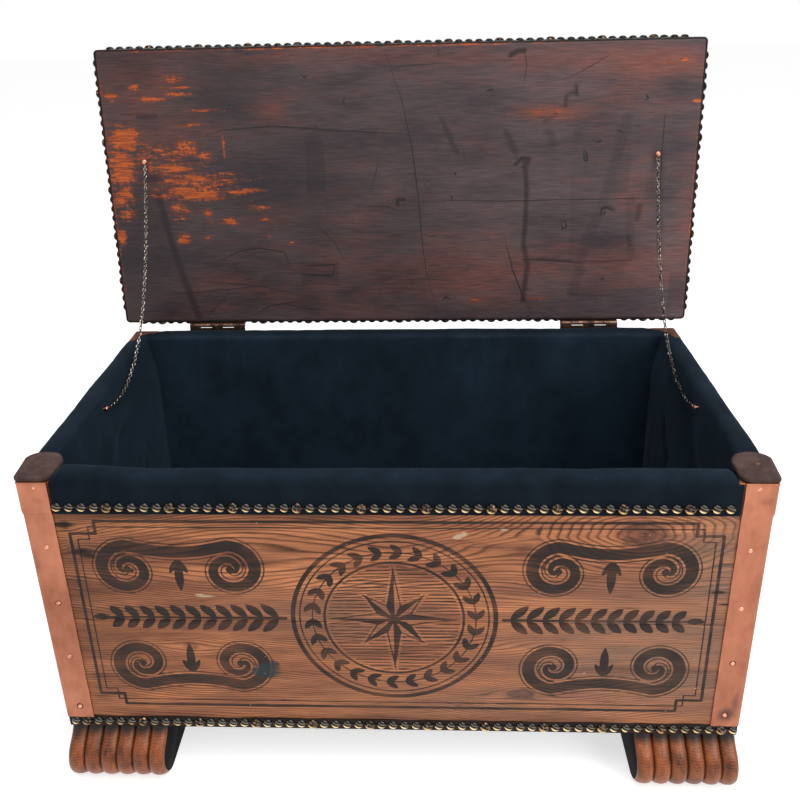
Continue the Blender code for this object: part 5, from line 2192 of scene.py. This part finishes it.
    def outline(self, inset: float, radius: float, up: float) -> Ring:
        """A round-cornered rectangle, drawn in, with even points along its sides.

        Args:
            inset: how far it is drawn in.
            radius: its corners' radius.
            up: its height.

        Returns:
            The ring of points.
        """
        half_w, half_d = self.half_width - inset, self.half_depth - inset
        radius = min(radius, half_d * 0.98)
        out, ahead = half_w - radius, half_d - radius
        corners = [
            arc(radius, start, 90, self.corner_steps, sx * out, self.middle + sy * ahead)
            for sx, sy, start in ((1, 1, 0), (-1, 1, 90), (-1, -1, 180), (1, -1, 270))
        ]
        points = []
        for number, corner in enumerate(corners):
            steps = self.short_steps if number % 2 else self.long_steps
            then = corners[(number + 1) % 4][0]
            points += corner + [between(corner[-1], then, k / steps) for k in range(1, steps)]
        return [Vector((x, y, up)) for x, y in points]

    def close_across(self, form: Form, base: int, count: int) -> None:
        """Closes a ring by quads from its rear side to its front side.

        Args:
            form: the form with the ring.
            base: the number of the ring's first point.
            count: how many points the ring has.
        """
        far = count - self.short_steps
        half = (far - self.short_steps) // 2
        for i in range(1, half - 1):
            form.faces.append((base + i, base + i + 1, base + far - i - 1, base + far - i))
        form.faces.append(tuple(base + i for i in range(half - 1, far - half + 2)))
        form.faces.append(tuple(base + i % count for i in range(far - 1, count + 2)))

    def crowned(self, grow: float, foot: float, shoulder: float, crown: float, wrinkle: float) -> list[Ring]:
        """Rings of a padded top: up the edge, round the shoulder and in over the crown.

        Args:
            grow: how far it stands out from the board's edge.
            foot: the height of its first ring.
            shoulder: the height at which it turns in.
            crown: how much higher its middle is.
            wrinkle: how high its wrinkles are.

        Returns:
            The rings in order.
        """
        rings = [self.outline(-grow, self.corner + grow, up) for up in (foot, (foot + shoulder) / 2)]
        corner = (self.half_width, self.half_depth)
        for share in self.rim_shares + self.crown_shares:
            up = shoulder + crown * (1 - (1 - share) ** 4) ** 0.5
            radius = self.corner + grow + self.half_depth * share * 0.25
            ring = self.outline(self.half_depth * share - grow, radius, up)
            for point in ring:
                away = math.dist((abs(point.x), abs(point.y - self.middle)), corner)
                fold = ripple(point.x / (18 * MM), point.y / (18 * MM), 4) * smooth(1 - away / (110 * MM))
                slow = 0.5 * ripple(point.x / (90 * MM), point.y / (90 * MM), 6)
                point.z += wrinkle * (slow + fold) * smooth(share * 12)
            rings.append(ring)
        return rings

    def simulated(self, form: Form, shoulder: float) -> tuple[list[Vector], list[Vector]]:
        """Presses an even copy of the leather from inside, with its nailed edge held.

        Args:
            form: the cover's outer side.
            shoulder: the height up to which the nails and the board hold it.

        Returns:
            The copy's points before, and how far each one moves.
        """
        mesh = bpy.data.meshes.new("leather_trial")
        mesh.from_pydata(form.points, [], form.faces)
        face_outward(mesh)
        trial = shown("leather_trial", mesh)
        even = trial.modifiers.new("even", "REMESH")
        even.mode = "VOXEL"
        even.voxel_size = self.swell_voxel
        bpy.context.view_layer.update()
        skin = bpy.data.meshes.new_from_object(trial.evaluated_get(bpy.context.evaluated_depsgraph_get()))
        trial.modifiers.clear()
        trial.data = skin
        nailed = trial.vertex_groups.new(name="nailed")
        start = [vertex.co.copy() for vertex in skin.vertices]
        for number, point in enumerate(start):
            nailed.add([number], 1 - smooth((point.z - shoulder) / (12 * MM)), "REPLACE")
        stiff = trial.modifiers.new("swelling", "CLOTH").settings
        stiff.quality = 6
        stiff.tension_stiffness, stiff.compression_stiffness = 40, 40
        stiff.shear_stiffness, stiff.bending_stiffness = 20, 3
        stiff.vertex_group_mass = nailed.name
        stiff.use_pressure = True
        stiff.uniform_pressure_force = self.swell_pressure
        stiff.effector_weights.gravity = 0
        scene = bpy.context.scene
        for number in range(1, self.swell_frames + 1):
            scene.frame_set(number)
        solved = trial.evaluated_get(bpy.context.evaluated_depsgraph_get()).data
        moves = [vertex.co - before for vertex, before in zip(solved.vertices, start)]
        scene.frame_set(1)
        bpy.data.objects.remove(trial)
        for spent in (mesh, skin):
            bpy.data.meshes.remove(spent)
        return start, moves

    def swollen(self, rings: Sequence[Ring], shoulder: float) -> list[Ring]:
        """Lets the foam's pressure swell the nailed leather.

        Args:
            rings: the cover's outer side, from its nailed edge to its middle.
            shoulder: the height up to which the nails and the board hold it.

        Returns:
            The rings as the simulation leaves them, moved by no more than the cap.
        """
        form = Form().loft(rings)
        start, moves = self.simulated(form, shoulder)
        tree = KDTree(len(start))
        for number, point in enumerate(start):
            tree.insert(point, number)
        tree.balance()
        places = []
        for point in form.points:
            near = [(moves[number], 1 / (far + MM)) for _, number, far in tree.find_n(point, 4)]
            moved = sum((move * weight for move, weight in near), Vector())
            moved /= sum(weight for _, weight in near)
            # The foam is under it, so the leather rises, and slides little.
            moved = Vector((self.swell_sideways * moved.x, self.swell_sideways * moved.y, max(moved.z, 0.0)))
            limit = self.swell_cap * math.tanh(moved.length / self.swell_cap)
            places.append(point + moved * (limit / max(moved.length, 1e-9)))
        count = len(rings[0])
        log.info("lid leather swelled to %.1f mm", max(p.z for p in places) / MM)
        return [places[i : i + count] for i in range(0, len(places), count)]

    def padding(self) -> None:
        """Foam on the board and the leather drawn over it, with a welted lower edge."""
        shoulder, crown = self.top + self.edge_height, self.start_crown - self.foam_flatter
        foam = self.crowned(-self.foam_inset, self.top, shoulder - self.foam_lower, crown, self.foam_wrinkle)
        form = Form().loft(foam, LID_PLACE)
        pad = form.piece("lid_foam_block", Body.LID, FOAM, "lid_foam", ("lid_pad",), 60)
        grow, hem = GAP + self.leather, self.underside + self.hem_up
        outer = self.crowned(grow, hem, shoulder + grow, self.start_crown, self.wrinkle)
        inner = self.crowned(GAP, hem, shoulder + GAP, self.start_crown, self.wrinkle)
        swelled = self.swollen(outer, self.top + self.held_up)
        inner = [[low + (new - old) for low, old, new in zip(*three)] for three in zip(inner, outer, swelled)]
        lip = self.underside - self.lip_down
        lip_out = self.outline(-grow + 0.5 * MM, self.corner + 1 * MM, lip)
        lip_in = self.outline(-GAP * 0.5, self.corner, lip)
        rings = swelled[::-1] + [lip_out, lip_in] + inner
        form = Form().loft(rings, LID_PLACE, capped=False)
        count = len(rings[0])
        for number in (0, len(rings) - 1):
            self.close_across(form, number * count, count)
        skin = form.piece("lid_cover_leather", Body.LID, LID_LEATHER, "lid_leather", ("lid_cover",), 60)

    def strips(self) -> None:
        """Nail strips along the edges, left out at the hinges."""
        low, high = self.hinge_gap
        end = self.half_width - self.strip_margin
        long, short = 2 * end, 2 * (self.half_depth - self.strip_margin)
        aside, rest = (high + end) / 2, end - high
        rows = (
            ("front", 0, self.half_depth, 0.0, long),
            ("right", 90, self.half_width, 0.0, short),
            ("left", -90, self.half_width, 0.0, short),
            ("rear_middle", 180, self.half_depth, 0.0, 2 * low),
            ("rear_left", 180, self.half_depth, aside, rest),
            ("rear_right", 180, self.half_depth, -aside, rest),
        )
        middle = LID_PLACE @ Matrix.Translation((0, self.middle, 0))
        for name, turn, span, shift, length in rows:
            place = middle @ Matrix.Rotation(math.radians(turn), 4, "Z")
            move = (shift, -span - self.strip_out, self.underside + self.strip_up)
            place = place @ Matrix.Translation(move) @ UPRIGHT
            NailStrip(f"nail_strip_lid_{name}", Body.LID, length, place, 3 * MM, 0.15, -0.3).build()

    def build(self) -> None:
        """The whole lid."""
        self.wood()
        self.cuts()
        self.padding()
        self.strips()


# Hinges
@dataclass(frozen=True)
class Hinge:
    """A butt hinge of five rolled knuckles on a pin, with countersunk screws."""

    hand: str
    centre: float = 271.5 * MM
    length: float = 82 * MM
    leaf: float = 1.5 * MM
    knuckle: float = 3 * MM
    bore: float = 1.75 * MM
    knuckles: int = 5
    relief: float = 3.3 * MM
    round_off: float = 2.5 * MM
    curl_deg: float = 320
    curl_steps: int = 22
    play: float = 0.15 * MM
    screw_apart: float = 28 * MM
    screw: tuple = ((2.9, -0.3), (2.9, 0.1), (2.4, 0.32), (0.4, 0.42))

    def leaf_form(self, height: float, own: Sequence[int], place: Matrix) -> Form:
        """A plate with rolled knuckles, standing up from the pin.

        Args:
            height: how far the plate reaches from the pin.
            own: which of the knuckles belong to it.
            place: where the pin's middle is.

        Returns:
            The form.
        """
        back, half = -self.knuckle, self.length / 2
        corner, shoulder = half - self.round_off, height - self.round_off
        outline = [(-half, self.relief), (half, self.relief), (half, shoulder)]
        outline += [(corner, height), (-corner, height), (-half, shoulder)]
        lay = Matrix(((1, 0, 0, 0), (0, 0, 1, 0), (0, 1, 0, 0), (0, 0, 0, 1)))
        form = Form().plate(outline, back, back + self.leaf, place @ lay)
        curl = [(back + self.leaf, self.relief), (back, self.relief)]
        curl += arc(self.knuckle, 180, self.curl_deg, self.curl_steps)
        curl += arc(self.bore, 180, self.curl_deg, self.curl_steps)[::-1]
        share = self.length / self.knuckles
        for number in own:
            low = -half + share * number + self.play
            ends = (low, low + share - 2 * self.play)
            form.loft([[Vector((x, y, z)) for y, z in curl] for x in ends], place)
        return form

    def build(self) -> None:
        """Both leaves, each with three sunk screw heads, and the pin."""
        x = WAY[self.hand] * self.centre
        at_pin = Matrix.Translation((x, PIN.y, PIN.z))
        box_place = at_pin @ Matrix.Diagonal((1, 1, -1, 1))
        lid_place = LID_PLACE @ Matrix.Translation((x, 0, 0))
        rows = (
            ("box_leaf", Body.CHEST, 22 * MM, (0, 2, 4), box_place),
            ("lid_leaf", Body.LID, 20 * MM, (1, 3), lid_place),
        )
        for leaf, body, height, own, place in rows:
            node = f"hinge_{self.hand}_{leaf}"
            form = self.leaf_form(height, own, place)
            form.piece(f"{node}_rolled", body, HINGE_BRONZE, "hinge_bronze", (node,), 35)
            heads = Form()
            for aside in (-self.screw_apart, 0.0, self.screw_apart):
                seat = Matrix.Translation((aside, -self.knuckle + self.leaf, height * 0.62))
                heads.lathe(in_mm(*self.screw), 18, place @ seat @ UPRIGHT.inverted())
            heads.piece(f"{node}_screws", body, PIN_COPPER, "copper_screw")
        half = self.length / 2
        pin = [(0.9 * MM, -half - 0.1 * MM), (1.35 * MM, 0.4 * MM - half)]
        pin += [(radius, -up) for radius, up in reversed(pin)]
        node = f"hinge_{self.hand}_pin"
        form = Form().lathe(pin, 18, at_pin @ Matrix.Rotation(math.pi / 2, 4, "Y"))
        form.piece(f"{node}_turned", Body.CHEST, PIN_COPPER, "hinge_bronze", (node,))


# Chains
@dataclass(frozen=True)
class Chain:
    """A fine chain from its screw in the lining to its screw in the open lid."""

    hand: str
    slack_share: float = 0.1167
    wire: float = 0.76 * MM
    link_length: float = 6.2 * MM
    link_width: float = 4.9 * MM
    lap: float = 2.3
    link_steps: int = 14
    off_wall: float = 3.2 * MM
    seat: tuple[float, float, float] = (354 * MM, -243.1 * MM, 4 * MM)
    steps: int = 400
    screw: tuple = ((1.5, -3.2), (1.5, 0.9), (3.3, 0.9), (3.5, 1.3), (3.0, 2.3), (1.8, 2.9), (0.5, 3.05))

    def ends(self) -> tuple[Vector, Vector, Vector, Vector]:
        """Where the chain starts and ends, and the way each screw points.

        Returns:
            The start, the end, the lower screw's way and the upper one's.
        """
        side = WAY[self.hand]
        low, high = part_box(f"chain_screw_box_{self.hand}")
        wall = low.x if side < 0 else high.x
        start = Vector((wall - side * self.off_wall, (low.y + high.y) / 2, (low.z + high.z) / 2))
        x, y, z = self.seat
        down = LID_PLACE.to_3x3() @ Vector((0, 0, -1))
        return start, LID_PLACE @ Vector((side * x, y, z)) + down * self.off_wall, Vector((-side, 0, 0)), down

    def route(self, start: Vector, end: Vector) -> list[Vector]:
        """A hanging line of the chain's length.

        Args:
            start: its lower end.
            end: its upper end.

        Returns:
            Points along it.
        """
        length = (end - start).length * (1 + self.slack_share)
        run = Vector((end.x - start.x, end.y - start.y, 0))
        span, drop = run.length, end.z - start.z
        goal = math.sqrt(length * length - drop * drop)
        low, high = span / 20, span * 20
        for _ in range(60):
            sag = (low + high) / 2
            low, high = (sag, high) if 2 * sag * math.sinh(span / (2 * sag)) > goal else (low, sag)
        lowest = span / 2 - sag * math.atanh(drop / length)
        base = start.z - sag * math.cosh(lowest / sag)
        points = []
        for i in range(self.steps + 1):
            x, y = start.x + run.x * i / self.steps, start.y + run.y * i / self.steps
            points.append(Vector((x, y, base + sag * math.cosh((span * i / self.steps - lowest) / sag))))
        return points

    def stops(self, line: Sequence[Vector]) -> list[Vector]:
        """Where one link meets the next, one pitch after another along a line.

        Args:
            line: points along the chain.

        Returns:
            The places in order.
        """
        pitch = self.link_length - self.lap * self.wire
        stops, walked = [line[0]], 0.0
        for a, b in zip(line, line[1:]):
            step = (b - a).length
            while walked + step >= pitch:
                a = a + (b - a) * ((pitch - walked) / (b - a).length)
                stops.append(a)
                step, walked = (b - a).length, 0.0
            walked += step
        return stops

    def link_place(self, a: Vector, b: Vector, turned: bool) -> Matrix:
        """The frame of a link that lies from a to b, every other one turned.

        Args:
            a: where it starts.
            b: where it ends.
            turned: whether it is one of the others.

        Returns:
            The matrix.
        """
        run = (b - a).normalized()
        side = (Vector((1, 0, 0)) - run * run.x).normalized()
        angle = math.radians(38 if turned else -52)
        across = side * math.cos(angle) + run.cross(side) * math.sin(angle)
        turn = Matrix((run, across, run.cross(across))).transposed().to_4x4()
        return Matrix.Translation((a + b) / 2) @ turn

    def build(self) -> None:
        """The links, hung from body to body, and both round-headed screws."""
        start, end, wall_way, lid_way = self.ends()
        stops = self.stops(self.route(start, end))
        half, wide = self.link_length / 2 - self.wire, self.link_width / 2 - self.wire
        oval = []
        for i in range(self.link_steps):
            turn = 2 * math.pi * i / self.link_steps
            end_of_side = math.copysign(half - wide, math.cos(turn))
            oval.append(Vector((end_of_side + wide * math.cos(turn), wide * math.sin(turn), 0)))
        form = Form()
        for i, (a, b) in enumerate(zip(stops, stops[1:])):
            form.hoop(oval, self.wire, 6, self.link_place(a, b, i % 2 == 0))
        node = f"chain_{self.hand}"
        item = form.piece(f"{node}_links", None, CHAIN_BRASS, "chain_brass", (node,), 60)
        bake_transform(item)
        for place, way, body, kind in ((start, wall_way, Body.CHEST, "box"), (end, lid_way, Body.LID, "lid")):
            stand = Matrix.Translation(place) @ way.to_track_quat("Z", "Y").to_matrix().to_4x4()
            screw = f"chain_screw_{kind}_{self.hand}"
            form = Form().lathe(in_mm(*self.screw), 20, stand)
            form.piece(f"{screw}_turned", body, SCREW_COPPER, "copper_screw", (screw,), 50)


# Studio
@dataclass(frozen=True)
class Studio:
    """A white floor, soft lamps and the camera at the photograph's place."""

    camera_place: tuple[float, float, float] = (0.04475, -0.92717, 0.90833)
    yaw: float = 0.047
    pitch: float = 0.3585
    roll: float = -0.0258
    lens: float = 36.656
    shift: Point2 = (0.0056, -0.1547)
    floor_half: float = 9.0
    floor_colour: str = "#e6e6e6"
    aim: tuple[float, float, float] = (0, 0, 0.35)
    # A key lamp to the front right, and another above: place, size and power
    lamps: tuple = (("key", (2.0, -1.6, 1.9), 1.4, 34.0), ("top", (0.35, -0.7, 2.9), 1.8, 50.0))

    def camera(self) -> None:
        """The matched camera."""
        level = Vector((-math.sin(self.yaw), math.cos(self.yaw), 0))
        right = Vector((math.cos(self.yaw), math.sin(self.yaw), 0))
        ahead = level * math.cos(self.pitch) - Vector((0, 0, math.sin(self.pitch)))
        up = right.cross(ahead)
        roll = Matrix.Rotation(-self.roll, 3, ahead)
        data = bpy.data.cameras.new("camera")
        data.sensor_width = 36
        data.lens = self.lens
        data.shift_x, data.shift_y = self.shift
        data.clip_start, data.clip_end = 0.01, 50
        item = shown("camera", data)
        turn = Matrix((roll @ right, roll @ up, -ahead)).transposed().to_4x4()
        item.matrix_world = Matrix.Translation(self.camera_place) @ turn
        bpy.context.scene.camera = item

    def floor(self) -> None:
        """A pale floor that shows near-white and keeps the shadow."""
        size = self.floor_half
        corners = [(-size, -size, 0), (size, -size, 0), (size, size, 0), (-size, size, 0)]
        mesh = bpy.data.meshes.new("floor")
        mesh.from_pydata(corners, [], [(0, 1, 2, 3)])
        item = shown("floor", mesh)
        material = bpy.data.materials.new("studio_floor")
        bench = Bench(material)
        look = {"Base Color": self.floor_colour, "Roughness": 0.9, "Emission Color": "#ffffff"}
        look["Emission Strength"] = bench.times(bench.seen_by_lens(), 0.64)
        bench.link(bench.tree.nodes["Principled BSDF"], look)
        mesh.materials.append(material)

    def world(self) -> None:
        """White behind the chest for the lens, a softer light on the chest."""
        world = bpy.data.worlds.new("studio")
        bpy.context.scene.world = world
        bench = Bench(world)
        level = bench.remap(bench.seen_by_lens(), 0.0, 1.0, 0.36, 1.0)
        bench.link(bench.tree.nodes["Background"], {"Color": "#ffffff", "Strength": level})

    def build(self) -> None:
        """Sets the stage, its lamps and the plain colour view."""
        self.camera()
        self.floor()
        self.world()
        for name, place, size, power in self.lamps:
            data = bpy.data.lights.new(name, "AREA")
            data.size, data.energy = size, power
            item = shown(name, data)
            item.location = place
            item.rotation_euler = (Vector(self.aim) - Vector(place)).to_track_quat("-Z", "Y").to_euler()
        bpy.context.scene.view_settings.view_transform = "Standard"


def main() -> None:
    """Builds the studio, and then the chest's sub-assemblies in order."""
    logging.basicConfig(level=logging.INFO, format="%(message)s")
    Studio().build()
    Crate().build()
    for row in ("front", "back"):
        for hand in ("left", "right"):
            Foot(row, hand).build()
            CopperCorner(row, hand).build()
    for hand in ("left", "right"):
        CornerCap(hand).build()
        Hinge(hand).build()
        Chain(hand).build()
    for wall, rise in ((Wall.FRONT, 10.5), (Wall.RIGHT, 6.0), (Wall.BACK, 4.0), (Wall.LEFT, 6.0)):
        cloth = LiningWall(wall, rise * MM)
        cloth.wadding()
        cloth.build()
    lining_floor()
    crate_strips()
    Lid().build()


if __name__ == "__main__":
    main()
